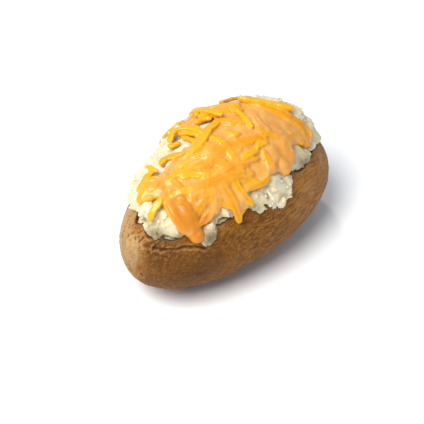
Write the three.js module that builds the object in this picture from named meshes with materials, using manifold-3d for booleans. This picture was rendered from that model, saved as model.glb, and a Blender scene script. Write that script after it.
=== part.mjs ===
import * as THREE from 'three';
import { mergeVertices } from 'three/addons/utils/BufferGeometryUtils.js';
import { ImprovedNoise } from 'three/addons/math/ImprovedNoise.js';
import Module from 'manifold-3d';

// Baked potato: an open brown jacket, a craggy mound of fluffed flesh and a
// sheet of melted cheese with shreds in it. Millimetres, +Z up, long axis
// along X with the blunter, wider end at +X, resting on a flat spot at Z = 0.

// Jacket
const HALF_LENGTH = 65.0;
const HALF_WIDTH = 37.7;
const BELLY_Z = 28.5;
const HEIGHT_OVER_BELLY = 31.8;
const DEPTH_UNDER_BELLY = 29.7;
const END_FULLNESS = 0.775;
const WIDENING = 0.168;
const JACKET_WALL = 1.9;
const RIM_Z = 46.6;
const RIM_WAVE = 1.1;
const SKIN_RELIEF = 0.55;

// Flesh mound, a fuller-than-round dome that stands on the rim
const MOUND_X = 1.0;
const MOUND_Y = 2.0;
const MOUND_HALF_LENGTH = 56.5;
const MOUND_HALF_WIDTH = 31.6;
const MOUND_BASE_Z = 43.0;
const MOUND_RISE = 26.6;
const MOUND_DEPTH = 16.0;
const MOUND_TUCK = 0.6;
const MOUND_FULLNESS = 2.35;
const MOUND_WIDENING = 0.09;
const CRAG_HEIGHT = 1.9;
const LUMP_HEIGHT = 0.8;
const LUMP_SUNK = 0.5;

// Unrolled mound: a plan ellipse whose edge is the mound's base line
const PLAN_HALF_LENGTH = 66.0;
const PLAN_HALF_WIDTH = 46.0;
const SLOPE_UNDER_BASE = 45.0;

// Cheese
const SHEET_LIFT = 2.1;
const SHEET_SUNK = 0.9;
const EDGE_LIFT = 1.0;
const EDGE_SUNK = 0.4;
const SHEET_RINGS = 11;
const SHEET_REACH = 0.63;
const SHEET_FOLD = 0.55;
const DRIP_BEAD = 1.6;
const SHRED_WIDTH = 3.5;
const SHRED_THICKNESS = 2.7;
const STRAND_WIDTH = 4.8;
const STRAND_THICKNESS = 3.4;
const SHRED_STEPS = 4;
const SHRED_SIDES = 6;

// Clearance between two pieces
const GAP = 0.35;

// Lumps of flesh: place on the unrolled mound, half length, half width, turn
const LUMPS = [
  [4, -42, 12.5, 9.0, 4],
  [-8, -38, 8.5, 8.0, 30],
  [14, -39, 8.5, 8.0, -20],
  [3, -33, 10.0, 7.0, 0],
  [34, -32, 8.0, 6.5, 25],
  [24, -38, 7.0, 5.0, 10],
  [56, -14, 11.0, 7.5, 70],
  [46, -26, 8.0, 6.5, 40],
  [49, 4, 10.0, 8.5, 80],
  [36, 13, 9.5, 8.0, 120],
  [-24, -33, 7.5, 6.0, 20],
  [-16, -37, 8.0, 6.0, -10],
  [-40, -35, 8.5, 7.0, -35],
  [-51, -15, 10.0, 8.5, 120],
  [-45, -19, 7.0, 6.0, 140],
  [-60, -7, 8.0, 6.5, 100],
  [-45, 5, 8.5, 8.0, 70],
  [-31, 16, 12.0, 7.5, 30],
  [-6, 20, 9.0, 6.5, 0],
];
const BACK_LUMPS = 6;
const BACK_LUMP_RADIUS = 9.0;

// Runs and bays of the sheet's edge: bearing in degrees, reach, spread
const EDGE_RUNS = [
  [-141, 0.28, 8],
  [-139, 0.2, 17],
  [-100, 0.12, 18],
  [-72, 0.2, 8],
  [-52, 0.06, 14],
  [-5, 0.07, 14],
  [30, -0.2, 14],
  [68, 0.2, 9],
  [95, -0.1, 20],
  [128, -0.26, 24],
  [163, -0.1, 18],
];

// Shreds: start on the unrolled mound, heading, length, bend, lift
const SHREDS = [
  [14, 0, -66, 28, 20, 3.0],
  [-6, 25, -12, 21, -60, 2.2],
  [-17, 12, 75, 14, -117, 1.6],
  [-8, 17, -60, 15, -26, 2.6],
  [-27, 9, -2, 20, -50, 2.8],
  [-17, -1, 20, 25, -20, 3.3],
  [2, 6, -75, 15, 6, 3.4],
  [12, 8, -113, 21, 7, 3.6],
  [-36, 1, -16, 27, 4, 3.2],
  [-39, -6, -24, 28, 2, 3.0],
  [-56, -3, -10, 17, 12, 2.4],
  [-51, 8, 20, 15, -60, 2.0],
  [-4, -9, -28, 14, -16, 3.0],
  [6, -22, 30, 15, -40, 3.0],
  [-11, -8, -100, 16, -18, 3.2],
  [-3, 0, -98, 17, -23, 3.4],
  [-13, -22, -98, 17, 60, 2.6],
];
const STRANDS = [
  [-17, -18, -98, 25, 35, 2.0],
  [-20, -21, -104, 27, 12, 2.0],
  [-34, -6, -128, 22, 2, 2.2],
];
const BACK_SHREDS = 5;
const LONG_SHRED_START = [27, 16];
const LONG_SHRED_HEADING = -67;
const LONG_SHRED_LENGTH = 28;

const wasm = await Module();
wasm.setup();
const noise = new ImprovedNoise();

// Seeded draw between two values
let seed = 20731;
function draw(low, high) {
  seed = (seed * 16807) % 2147483647;
  return low + ((high - low) * seed) / 2147483647;
}

function radians(degrees) {
  return THREE.MathUtils.degToRad(degrees);
}

function crumple(point, wavelength, shift) {
  const x = point.x / wavelength + shift;
  const y = point.y / wavelength + shift * 1.7;
  const z = point.z / wavelength - shift;
  return noise.noise(x, y, z);
}

// Closed manifold solid from a closed three.js geometry, grown all round
function solid(geometry, grown = 0) {
  geometry.deleteAttribute('normal');
  geometry.deleteAttribute('uv');
  const welded = mergeVertices(geometry, 1e-4);
  if (grown > 0) {
    welded.computeVertexNormals();
    const position = welded.attributes.position;
    const normal = welded.attributes.normal;
    for (let i = 0; i < position.count; i += 1) {
      const point = new THREE.Vector3().fromBufferAttribute(position, i);
      const out = new THREE.Vector3().fromBufferAttribute(normal, i);
      point.addScaledVector(out, grown);
      position.setXYZ(i, point.x, point.y, point.z);
    }
  }
  const mesh = new wasm.Mesh({
    numProp: 3,
    vertProperties: new Float32Array(welded.attributes.position.array),
    triVerts: new Uint32Array(welded.index.array),
  });
  return new wasm.Manifold(mesh);
}

// Closed skin: every point of a unit sphere, poles on Z, moved by a rule
function closedSkin(around, rings, rule, grown = 0) {
  const sphere = new THREE.SphereGeometry(1, around, rings);
  sphere.rotateX(Math.PI / 2);
  sphere.deleteAttribute('normal');
  sphere.deleteAttribute('uv');
  const skin = mergeVertices(sphere, 1e-5);
  const position = skin.attributes.position;
  for (let i = 0; i < position.count; i += 1) {
    const on = new THREE.Vector3().fromBufferAttribute(position, i).normalize();
    const moved = rule(on);
    position.setXYZ(i, moved.x, moved.y, moved.z);
  }
  return solid(skin, grown);
}

// Under 1 inside the potato, over 1 outside
function potatoLevel(point, offset) {
  const along = point.x / (HALF_LENGTH + offset);
  if (Math.abs(along) >= 1) {
    return 2;
  }
  const fullness = Math.pow(1 - along * along, END_FULLNESS / 2);
  const halfWidth = (HALF_WIDTH + offset) * fullness * (1 + WIDENING * along);
  const over = point.z > BELLY_Z;
  const tall = over ? HEIGHT_OVER_BELLY : DEPTH_UNDER_BELLY;
  const halfHeight = (tall + offset) * fullness;
  return Math.hypot(point.y / halfWidth, (point.z - BELLY_Z) / halfHeight);
}

// Distance from the middle of the potato to its surface, with the flat foot
function potatoReach(direction, offset) {
  let near = 0;
  let far = HALF_LENGTH * 1.5;
  for (let step = 0; step < 34; step += 1) {
    const middle = (near + far) / 2;
    const point = direction.clone().multiplyScalar(middle);
    point.z += BELLY_Z;
    if (potatoLevel(point, offset) < 1) {
      near = middle;
    } else {
      far = middle;
    }
  }
  const swell = SKIN_RELIEF * crumple(direction, 0.34, 3.1);
  const surface = near + swell;
  if (direction.z < 0) {
    return Math.min(surface, (BELLY_Z + offset) / -direction.z);
  }
  return surface;
}

function potatoSolid(offset, around, rings) {
  return closedSkin(around, rings, (on) => {
    const x = on.x * HALF_LENGTH;
    const y = on.y * HALF_WIDTH;
    const z = on.z * DEPTH_UNDER_BELLY;
    const direction = new THREE.Vector3(x, y, z).normalize();
    const moved = direction.clone().multiplyScalar(potatoReach(direction, offset));
    moved.z += BELLY_Z;
    return moved;
  });
}

// Everything above the torn, wavy rim of the jacket
function aboveRim(lowered) {
  const stretch = 1.6;
  const middleZ = RIM_Z + 1.0;
  const drum = new THREE.CylinderGeometry(1, 1, 1, 50, 1);
  drum.rotateX(Math.PI / 2);
  const position = drum.attributes.position;
  for (let i = 0; i < position.count; i += 1) {
    const x = position.getX(i);
    const y = position.getY(i);
    const bearing = Math.atan2(y, x);
    const edge = Math.hypot(x, y) > 0.5;
    let bottom = middleZ;
    if (edge) {
      const wave = Math.sin(3 * bearing + 0.6) + 0.6 * Math.sin(7 * bearing + 2.0);
      const tear = 0.5 * Math.sin(19 * bearing);
      bottom = middleZ + (RIM_Z - middleZ + RIM_WAVE * (wave + tear)) * stretch;
    }
    const z = position.getZ(i) > 0 ? 110 : bottom - lowered;
    position.setXYZ(i, x * 57 * stretch, y * 31 * stretch, z);
  }
  return solid(drum);
}

// Point on the mound, or below its base line on the jacket's flank
function moundPoint(planX, planY) {
  const across = Math.hypot(planX / PLAN_HALF_LENGTH, planY / PLAN_HALF_WIDTH);
  const bearing = Math.atan2(planY / PLAN_HALF_WIDTH, planX / PLAN_HALF_LENGTH);
  const polar = (Math.min(across, 1) * Math.PI) / 2;
  const spread = Math.pow(Math.sin(polar), 2 / MOUND_FULLNESS);
  const below = Math.max(across - 1, 0) * SLOPE_UNDER_BASE;
  const x = MOUND_X + MOUND_HALF_LENGTH * spread * Math.cos(bearing);
  const widening = 1 + MOUND_WIDENING * spread * Math.cos(bearing);
  const y = MOUND_Y + MOUND_HALF_WIDTH * widening * spread * Math.sin(bearing);
  const z = MOUND_BASE_Z + MOUND_RISE * Math.cos(polar) - below;
  return new THREE.Vector3(x, y, z);
}

// Same point, pushed out to the jacket where the jacket is wider
function coveredPoint(planX, planY) {
  const point = moundPoint(planX, planY);
  point.z -= BELLY_Z;
  const direction = point.clone().normalize();
  const reach = Math.max(point.length(), potatoReach(direction, 0) - 0.4);
  point.copy(direction).multiplyScalar(reach);
  point.z += BELLY_Z;
  return point;
}

// Covered point lifted along the outward normal
function drapedPoint(planX, planY, lift) {
  const step = 0.6;
  const point = coveredPoint(planX, planY);
  const alongX = coveredPoint(planX + step, planY);
  alongX.sub(coveredPoint(planX - step, planY));
  const alongY = coveredPoint(planX, planY + step);
  alongY.sub(coveredPoint(planX, planY - step));
  const normal = alongX.cross(alongY).normalize();
  return point.addScaledVector(normal, lift);
}

// Mound with crags where no cheese covers it
function craggyMound() {
  return closedSkin(44, 18, (on) => {
    if (on.z < 0) {
      const tuck = 1 + MOUND_TUCK * on.z;
      const x = MOUND_X + MOUND_HALF_LENGTH * on.x * tuck;
      const y = MOUND_Y + MOUND_HALF_WIDTH * (1 + MOUND_WIDENING * on.x) * on.y * tuck;
      return new THREE.Vector3(x, y, MOUND_BASE_Z + MOUND_DEPTH * on.z);
    }
    const across = Math.acos(Math.min(on.z, 1)) / (Math.PI / 2);
    const bearing = Math.atan2(on.y, on.x);
    const planX = PLAN_HALF_LENGTH * across * Math.cos(bearing);
    const planY = PLAN_HALF_WIDTH * across * Math.sin(bearing);
    const point = moundPoint(planX, planY);
    const coarse = crumple(point, 9.5, 4.3);
    const fine = crumple(point, 4.6, 8.9);
    const bare = THREE.MathUtils.smoothstep(across / sheetReach(bearing), 0.8, 1.05);
    const fade = bare * Math.min(on.z * 5, 1);
    const crag = CRAG_HEIGHT * (1.3 * coarse + 0.8 * fine) * fade;
    const out = point.clone();
    out.z -= BELLY_Z;
    return point.addScaledVector(out.normalize(), crag);
  });
}

// Craggy lump of flesh, flattened against the mound
function lump(planX, planY, halfLength, halfWidth, turn) {
  const ball = new THREE.IcosahedronGeometry(1, halfWidth > 8.2 ? 2 : 1);
  const position = ball.attributes.position;
  const height = LUMP_HEIGHT * halfWidth;
  const place = drapedPoint(planX, planY, -LUMP_SUNK * height);
  const up = drapedPoint(planX, planY, 1).sub(drapedPoint(planX, planY, 0)).normalize();
  const heading = new THREE.Vector3(Math.cos(radians(turn)), Math.sin(radians(turn)), 0);
  const across = up.clone().cross(heading).normalize();
  const along = across.clone().cross(up);
  for (let i = 0; i < position.count; i += 1) {
    const on = new THREE.Vector3().fromBufferAttribute(position, i);
    const point = place.clone();
    point.addScaledVector(along, on.x * halfLength);
    point.addScaledVector(across, on.y * halfWidth);
    point.addScaledVector(up, on.z * height);
    const crag = crumple(point, 7.5, 1.3) + 0.6 * crumple(point, 3.6, 6.1);
    point.lerp(place, -0.42 * crag);
    position.setXYZ(i, point.x, point.y, point.z);
  }
  return solid(ball);
}

function lumps() {
  const pieces = LUMPS.map((row) => lump(...row));
  for (let i = 0; i < BACK_LUMPS; i += 1) {
    const bearing = radians(24 + (130 * (i + 0.5)) / BACK_LUMPS);
    const across = draw(0.78, 0.92);
    const x = PLAN_HALF_LENGTH * across * Math.cos(bearing);
    const y = PLAN_HALF_WIDTH * across * Math.sin(bearing);
    const radius = BACK_LUMP_RADIUS * draw(0.75, 1.1);
    pieces.push(lump(x, y, radius * draw(1.0, 1.3), radius, draw(0, 180)));
  }
  return pieces;
}

// How far the sheet reaches down the mound at a bearing, 1 at the base line
function sheetReach(bearing) {
  let reach = SHEET_REACH + 0.012 * Math.sin(23 * bearing);
  for (const [at, extra, spread] of EDGE_RUNS) {
    const turn = Math.atan2(Math.sin(bearing - radians(at)), Math.cos(bearing - radians(at)));
    reach += extra * Math.exp(-Math.pow(turn / radians(spread), 2));
  }
  return reach;
}

function sheet(grown) {
  const rule = (on) => {
    const polar = Math.acos(THREE.MathUtils.clamp(on.z, -1, 1)) / Math.PI;
    const top = polar < 0.5;
    const part = (top ? polar : 1 - polar) * 2;
    const inward = Math.min(part * (1 + 1 / (SHEET_RINGS - 1)), 1);
    const bearing = Math.atan2(on.y, on.x);
    const across = inward * sheetReach(bearing);
    const planX = PLAN_HALF_LENGTH * across * Math.cos(bearing);
    const planY = PLAN_HALF_WIDTH * across * Math.sin(bearing);
    const rounded = Math.sqrt(1 - Math.pow(inward, 6));
    if (!top) {
      return drapedPoint(planX, planY, -EDGE_SUNK - (SHEET_SUNK - EDGE_SUNK) * rounded);
    }
    const plan = new THREE.Vector3(planX, planY, 0);
    const fold = SHEET_FOLD * (crumple(plan, 8, 2.2) + 0.6 * crumple(plan, 4, 5.4));
    const bead = DRIP_BEAD * THREE.MathUtils.smoothstep(across, 0.72, 0.92);
    const thick = SHEET_LIFT - EDGE_LIFT + fold + bead;
    return drapedPoint(planX, planY, EDGE_LIFT + thick * rounded);
  };
  return closedSkin(60, SHEET_RINGS, rule, grown);
}

// Shred that follows the mound: an oval strip along a bending path
function shred(row, width, thickness, rise, grown) {
  const [startX, startY, heading, length, bend, lift] = row;
  const points = [];
  let x = startX;
  let y = startY;
  for (let i = 0; i <= SHRED_STEPS; i += 1) {
    const part = i / SHRED_STEPS;
    const tilt = rise * Math.pow(2 * part - 1, 2);
    points.push(drapedPoint(x, y, lift + tilt));
    const turned = radians(heading + bend * (part + 0.5 / SHRED_STEPS));
    x += (Math.cos(turned) * length) / SHRED_STEPS;
    y += (Math.sin(turned) * length) / SHRED_STEPS;
  }
  const outline = new THREE.Shape();
  outline.absellipse(0, 0, thickness / 2, width / 2, 0, Math.PI * 2);
  const strip = new THREE.ExtrudeGeometry(outline, {
    steps: SHRED_STEPS,
    curveSegments: SHRED_SIDES / 2,
    bevelEnabled: false,
    extrudePath: new THREE.CatmullRomCurve3(points),
  });
  return solid(strip, grown);
}

// Shreds on the far side, drawn at random within the sheet
function backShreds() {
  seed = 4409;
  const rows = [];
  for (let i = 0; i < BACK_SHREDS; i += 1) {
    const bearing = radians(15 + (140 * (i + draw(0.2, 0.8))) / BACK_SHREDS);
    const across = draw(0.28, 0.6);
    const x = PLAN_HALF_LENGTH * across * Math.cos(bearing);
    const y = PLAN_HALF_WIDTH * across * Math.sin(bearing);
    rows.push([x, y, draw(0, 360), draw(13, 22), draw(-50, 50), draw(2.4, 3.2)]);
  }
  return rows;
}

function cheeseSolid(grown) {
  const pieces = [sheet(grown)];
  for (const row of [...SHREDS, ...backShreds()]) {
    pieces.push(shred(row, SHRED_WIDTH, SHRED_THICKNESS, 0, grown));
  }
  for (const row of STRANDS) {
    pieces.push(shred(row, STRAND_WIDTH, STRAND_THICKNESS, 0, grown));
  }
  const long = [...LONG_SHRED_START, LONG_SHRED_HEADING, LONG_SHRED_LENGTH, 0, 1.4];
  pieces.push(shred(long, SHRED_WIDTH, SHRED_THICKNESS, 2.9, grown));
  return wasm.Manifold.union(pieces);
}

// Largest body of a solid, without loose scraps
function mainBody(whole) {
  const bodies = whole.decompose();
  bodies.sort((a, b) => b.volume() - a.volume());
  return bodies[0];
}

function meshNode(name, whole, colour, roughness) {
  const shape = whole.getMesh();
  const geometry = new THREE.BufferGeometry();
  const position = new Float32Array(shape.vertProperties);
  geometry.setAttribute('position', new THREE.BufferAttribute(position, 3));
  geometry.setIndex(new THREE.BufferAttribute(new Uint32Array(shape.triVerts), 1));
  geometry.computeVertexNormals();
  const material = new THREE.MeshStandardMaterial({ color: colour, roughness, metalness: 0 });
  const node = new THREE.Mesh(geometry, material);
  node.name = name;
  return node;
}

const cavity = potatoSolid(-JACKET_WALL, 32, 14);
const jacket = mainBody(potatoSolid(0, 52, 22).subtract(cavity).subtract(aboveRim(0)));

// Jacket with its clearance, cut from whatever lies in it or over its rim
const roomyCavity = potatoSolid(-JACKET_WALL - GAP, 32, 14);
const jacketRoom = potatoSolid(GAP, 52, 22).subtract(roomyCavity).subtract(aboveRim(-GAP));

const filling = roomyCavity.subtract(aboveRim(0));
const heaped = wasm.Manifold.union([filling, craggyMound(), ...lumps()]);
const flesh = mainBody(heaped.subtract(jacketRoom).subtract(cheeseSolid(GAP)));
const cheese = mainBody(cheeseSolid(0).subtract(jacketRoom));

const potato = new THREE.Group();
potato.name = 'baked_potato';
potato.add(meshNode('jacket', jacket, 0x8a5a30, 0.75));
potato.add(meshNode('flesh', flesh, 0xf1e2b4, 0.6));
potato.add(meshNode('cheese', cheese, 0xf9b650, 0.35));

export default potato;
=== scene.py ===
"""Loaded baked potato: russet jacket, fluffy flesh heaped over its rim, melted cheese and shreds on top.

Shapes are worked out in millimetres and written to the meshes in metres. X runs along the potato,
Y across it, and the floor is at Z = 0.
"""

import math
from itertools import product

import bpy
import numpy as np
from mathutils import Matrix, Vector


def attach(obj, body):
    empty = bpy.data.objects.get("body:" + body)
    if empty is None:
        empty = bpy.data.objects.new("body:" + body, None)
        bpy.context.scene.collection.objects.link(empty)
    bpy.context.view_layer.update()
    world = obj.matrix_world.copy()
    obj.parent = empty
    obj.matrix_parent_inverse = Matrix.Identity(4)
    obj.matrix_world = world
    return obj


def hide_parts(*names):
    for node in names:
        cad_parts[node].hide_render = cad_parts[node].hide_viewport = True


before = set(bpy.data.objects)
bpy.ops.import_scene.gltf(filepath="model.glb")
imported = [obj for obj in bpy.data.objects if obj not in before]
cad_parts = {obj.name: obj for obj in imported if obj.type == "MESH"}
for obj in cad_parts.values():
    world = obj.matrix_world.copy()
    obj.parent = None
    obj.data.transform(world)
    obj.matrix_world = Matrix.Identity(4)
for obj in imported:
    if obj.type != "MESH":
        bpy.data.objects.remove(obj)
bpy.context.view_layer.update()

MM = 0.001

# ---- potato -------------------------------------------------------------------------------------
HALF_LENGTH = 65.0
HALF_WIDTH = 37.7
BELLY_Z = 28.5
HEIGHT_OVER_BELLY = 31.8
DEPTH_UNDER_BELLY = 29.7
END_FULLNESS = 0.775
WIDENING = 0.168
JACKET_WALL = 1.9
RIM_Z = 46.6
RIM_WAVE = 1.1
# half length and half width of the ring on which the rim's bearings are taken
RIM_RING = (57, 31)
# share of the wave, waves round the rim and where each starts
RIM_WAVES = [(1.0, 3, 0.6), (0.6, 7, 2.0), (0.5, 19, 0.0)]
# bearing in degrees, rise in mm and spread in degrees of each tongue of skin left standing at the rim
RIM_TONGUES = [(128, 3.0, 7), (-34, 2.4, 8), (176, 1.6, 9), (62, 1.8, 10), (-112, 1.8, 5), (-73, 3.4, 7)]

# ---- mound of flesh -----------------------------------------------------------------------------
MOUND_X = 1.0
MOUND_Y = 2.0
MOUND_HALF_LENGTH = 56.5
MOUND_HALF_WIDTH = 31.6
MOUND_BASE_Z = 43.0
MOUND_RISE = 26.6
MOUND_FULLNESS = 2.35
MOUND_WIDENING = 0.09
LEAST_SLOPE = 0.028
PLAN_HALF_LENGTH = 66.0
PLAN_HALF_WIDTH = 46.0
SLOPE_UNDER_BASE = 45.0
# plan points of the edge of the flesh, right round it
FLESH_EDGE = [
    (-48, 23), (-52, 14), (-54, 6), (-57, 0), (-60, -6), (-60, -13), (-55, -18), (-51, -27), (-47, -33),
    (-45, -38), (-37, -39), (-33, -34), (-28, -34), (-22, -43), (-16, -43), (-10, -45), (-5, -47), (3, -49),
    (9, -47), (14, -44), (16, -39), (17, -36), (20, -37), (24, -38), (30, -37), (34, -36), (38, -33),
    (45, -30), (53, -27), (60, -20), (68, -8), (68, 6), (60, 20), (44, 32), (28, 40), (8, 45), (-14, 43),
    (-32, 36), (-41, 30),
]
LUMP_HEIGHT = 0.8
LUMP_SUNK = 0.5
# plan x, plan y, half length, half width and turn in degrees of each lump along the rim
LUMPS = [
    (4, -42, 12.5, 9, 4), (-8, -38, 8.5, 8, 30), (14, -39, 8.5, 8, -20), (3, -33, 10, 7, 0),
    (34, -32, 8, 6.5, 25), (24, -38, 7, 5, 10), (56, -14, 11, 7.5, 70), (46, -26, 8, 6.5, 40),
    (49, 4, 10, 8.5, 80), (36, 13, 9.5, 8, 120), (-24, -33, 7.5, 6, 20), (-16, -37, 8, 6, -10),
    (-40, -35, 8.5, 7, -35), (-51, -15, 10, 8.5, 120), (-45, -19, 7, 6, 140),
    (-60, -7, 8, 6.5, 100), (-45, 5, 8.5, 8, 70), (-31, 16, 12, 7.5, 30), (-6, 20, 9, 6.5, 0),
]
# the same of the lumps that only the fine surface has
SMALL_LUMPS = [
    (-39, 9, 7, 6, 30), (-32, 12, 7.5, 6, 40), (-23, 17, 8.5, 7, 20), (-15, 19, 8, 6.5, 0),
    (45, -1, 9, 8, 90), (40, 5, 8, 7, 60), (24, -33, 6.5, 5, 10),
    (-10, -41, 6, 4.5, 10), (10, -43, 5.5, 4.5, 30), (-56, -9, 6, 5.5, 80), (-41, -35, 7.5, 6, 0),
    (-46, -11, 8, 6.5, 30), (-47, 4, 5.5, 5, 60), (-36, 8, 5.5, 5, 20), (-52, -22, 5, 4.5, 140),
    (22, -33, 7, 5, 10), (30, -31, 6.5, 5, 40),
]
# the same of the lumps that stand proud of the others
PROUD_LUMPS = [
    (34, -2, 8, 6.5, 60), (43, -9, 9, 7, 60), (52, -18, 10, 8.2, 60), (54, -25, 6, 5.5, 60),
    (41, 5, 7, 4.5, 60),
]
PROUD_LUMP_SUNK = 0.15
BACK_LUMPS = 7
BACK_LUMP_RADIUS = 9.0
# first bearing and reach in degrees of the row of lumps at the back
BACK_LUMP_BEARINGS = (20, 138)

# ---- cheese -------------------------------------------------------------------------------------
SHEET_THICK = 1.5
SHEET_SUNK = 0.8
# plan points of the edge of the melted sheet, right round it
SHEET_EDGE = [
    (23, 5), (25, 0), (27, -5), (31, -10), (35, -14), (39, -18), (41, -22), (40, -26), (34, -29), (28, -25),
    (22, -23), (19, -25), (18, -29), (15.5, -32.5), (11, -33), (8, -30.5), (8, -26.5), (6, -27), (3, -28),
    (1, -31), (-3, -32), (-8, -31), (-11, -31), (-17, -34), (-20, -32), (-21, -28), (-22, -24), (-29, -30),
    (-32, -30), (-40, -27), (-42, -29), (-47, -24), (-47, -22), (-40, -12), (-37, -4), (-32, 1), (-29, 4),
    (-24, 6), (-18, 6), (-12, 4), (-7, 5), (-1, 6), (4, 7), (9, 8), (12, 12), (8, 18), (-2, 21), (-8, 26),
    (-6, 31), (0, 30), (4, 37), (12, 37), (16, 30), (24, 26), (28, 18), (24, 10),
]
SHRED_THICK = 2.0
SHRED_GROOVE = 0.3
SUNK_SHREDS = 30
# the one stiff shred: width, thickness, melt width, tone, and plan x, plan y and lift of its two ends
LONG_SHRED = (4.4, 3.6, 0.5, 0.2, (18.8, 8, 4.0), (32, -9.8, 4.0))


# ---- numbers ------------------------------------------------------------------------------------
chance = np.random.default_rng(4409)
SHUFFLE = np.tile(np.random.default_rng(12).permutation(256).astype(np.int32), 2)
SLOPES = np.random.default_rng(13).normal(size=(256, 3))
SLOPES = (SLOPES / np.linalg.norm(SLOPES, axis=1)[:, None]).astype(np.float32)
SEED_SHIFT = 17.31
NOISE_GAIN = 1.7


def noise(points, size, seed):
    """Smooth noise of about -1 to 1 with bumps of that size in mm (one size, or one for each axis)."""
    spot = points / np.asarray(size, dtype=np.float32) + seed * SEED_SHIFT
    cell = np.floor(spot)
    part = (spot - cell).astype(np.float32)
    cell = cell.astype(np.int32) & 255
    fade = part * part * part * (part * (part * 6 - 15) + 10)
    total = np.zeros(len(points), dtype=np.float32)
    for corner in product((0, 1), repeat=3):
        along_x = SHUFFLE[(cell[:, 0] + corner[0]) & 255]
        along_y = SHUFFLE[(along_x + cell[:, 1] + corner[1]) & 255]
        slope = SLOPES[SHUFFLE[(along_y + cell[:, 2] + corner[2]) & 255]]
        weight = np.ones(len(points), dtype=np.float32)
        value = np.zeros(len(points), dtype=np.float32)
        for axis in range(3):
            value += slope[:, axis] * (part[:, axis] - corner[axis])
            weight *= fade[:, axis] if corner[axis] else 1 - fade[:, axis]
        total += weight * value
    return total * NOISE_GAIN


def drift(points, size, seed):
    """Noise in three directions, from three seeds in a row."""
    return np.stack([noise(points, size, seed + axis) for axis in range(3)], axis=1)


def ridge(points, size, seed, sharp=2.0):
    """Thin crests, 0 to 1, that wander through space with cells of that size."""
    return np.clip(1 - 2.4 * np.abs(noise(points, size, seed)), 0, 1) ** sharp


def smooth_step(value, low, high):
    part = np.clip((value - low) / (high - low), 0, 1)
    return part * part * (3 - 2 * part)


def blob(points, middle, radii):
    """Soft spot, 1 in its middle, that fades out over the radii."""
    return np.exp(-(((points - np.array(middle)) / np.array(radii)) ** 2).sum(axis=1))


def blobs(points, rows):
    """Sum of soft spots, each a share, a middle and its radii."""
    return sum(share * blob(points, middle, radii) for share, middle, radii in rows)


def join(a, b, blend):
    """Union of two depth fields with a fillet of about that width."""
    overlap = np.clip(blend - np.abs(a - b), 0, None)
    return np.minimum(a, b) - overlap * overlap / (4 * blend)


def common(a, b, blend):
    """What two depth fields share, with the edge rounded over about that width."""
    return -join(-a, -b, blend)


# ---- potato and mound as depth fields: mm outside the surface, negative inside --------------------
def potato_depth(x, y, z, offset=0.0):
    long = HALF_LENGTH + offset
    along = np.clip(x / long, -0.9995, 0.9995)
    left = 1 - along * along
    full = left ** (END_FULLNESS / 2)
    widening = 1 + WIDENING * along
    half_width = (HALF_WIDTH + offset) * full * widening
    tall = np.where(z > BELLY_Z, HEIGHT_OVER_BELLY, DEPTH_UNDER_BELLY) + offset
    half_height = tall * full
    side = y / half_width
    rise = (z - BELLY_Z) / half_height
    level = np.maximum(np.hypot(side, rise), 1e-4)
    fade = -END_FULLNESS * along / left / long
    slope_x = (side * side * (fade + WIDENING / widening / long) + rise * rise * fade) / level
    slope = np.sqrt(slope_x ** 2 + (side / half_width / level) ** 2 + (rise / half_height / level) ** 2)
    return (level - 1) / slope + np.clip(np.abs(x) - long, 0, None)


def rim_height(bearing):
    wave = sum(share * np.sin(waves * bearing + start) for share, waves, start in RIM_WAVES)
    height = RIM_Z + RIM_WAVE * wave
    for degrees, rise, spread in RIM_TONGUES:
        turn = np.angle(np.exp(1j * (bearing - math.radians(degrees))))
        height = height + rise * np.exp(-(turn / math.radians(spread)) ** 2)
    return height


def rim_bearing(x, y):
    return np.arctan2(y / RIM_RING[1], x / RIM_RING[0])


def mound_spread(x, y):
    """How far out of the mound's middle a point is, 1 at the foot of the mound, and its place across."""
    across_x = (x - MOUND_X) / MOUND_HALF_LENGTH
    across_y = (y - MOUND_Y) / MOUND_HALF_WIDTH
    narrow = across_y / (1 + MOUND_WIDENING * across_x)
    return np.maximum(np.hypot(across_x, narrow), 1e-3), across_x, narrow


def mound_depth(x, y, z):
    spread, across_x, across_y = mound_spread(x, y)
    rise = np.maximum(z - MOUND_BASE_Z, 0) / MOUND_RISE
    level = spread ** MOUND_FULLNESS + rise * rise - 1
    tilt = np.hypot(across_x / MOUND_HALF_LENGTH, across_y / MOUND_HALF_WIDTH) / spread
    slope = np.hypot(MOUND_FULLNESS * spread ** (MOUND_FULLNESS - 1) * tilt, 2 * rise / MOUND_RISE)
    return level / np.maximum(slope, LEAST_SLOPE)


def plan_point(x, y, z):
    """Plan point of places on the mound, by how far down it they lie and their bearing."""
    spread, across_x, across_y = mound_spread(x, y)
    rise = np.maximum(z - MOUND_BASE_Z, 0) / MOUND_RISE
    across = np.arctan2(spread ** (MOUND_FULLNESS / 2), rise) / (math.pi / 2)
    across = across + np.maximum(MOUND_BASE_Z - z, 0) / SLOPE_UNDER_BASE
    bearing = np.arctan2(across_y, across_x)
    return PLAN_HALF_LENGTH * across * np.cos(bearing), PLAN_HALF_WIDTH * across * np.sin(bearing)


def edge_depth(x, y, corners):
    """Distance outside a closed edge on the plan, negative inside it."""
    x, y = np.asarray(x, dtype=np.float32), np.asarray(y, dtype=np.float32)
    nearest = np.full(x.shape, 1e9, dtype=np.float32)
    inside = np.zeros(x.shape, dtype=bool)
    for (x0, y0), (x1, y1) in zip(corners, corners[1:] + corners[:1]):
        along_x, along_y = x1 - x0, y1 - y0
        part = ((x - x0) * along_x + (y - y0) * along_y) / (along_x ** 2 + along_y ** 2)
        part = np.clip(part, 0, 1)
        nearest = np.minimum(nearest, (x - x0 - part * along_x) ** 2 + (y - y0 - part * along_y) ** 2)
        if y0 != y1:
            crossed = (y0 > y) != (y1 > y)
            inside ^= crossed & (x < x0 + (y - y0) * along_x / along_y)
    return np.sqrt(nearest) * np.where(inside, -1, 1)


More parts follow.
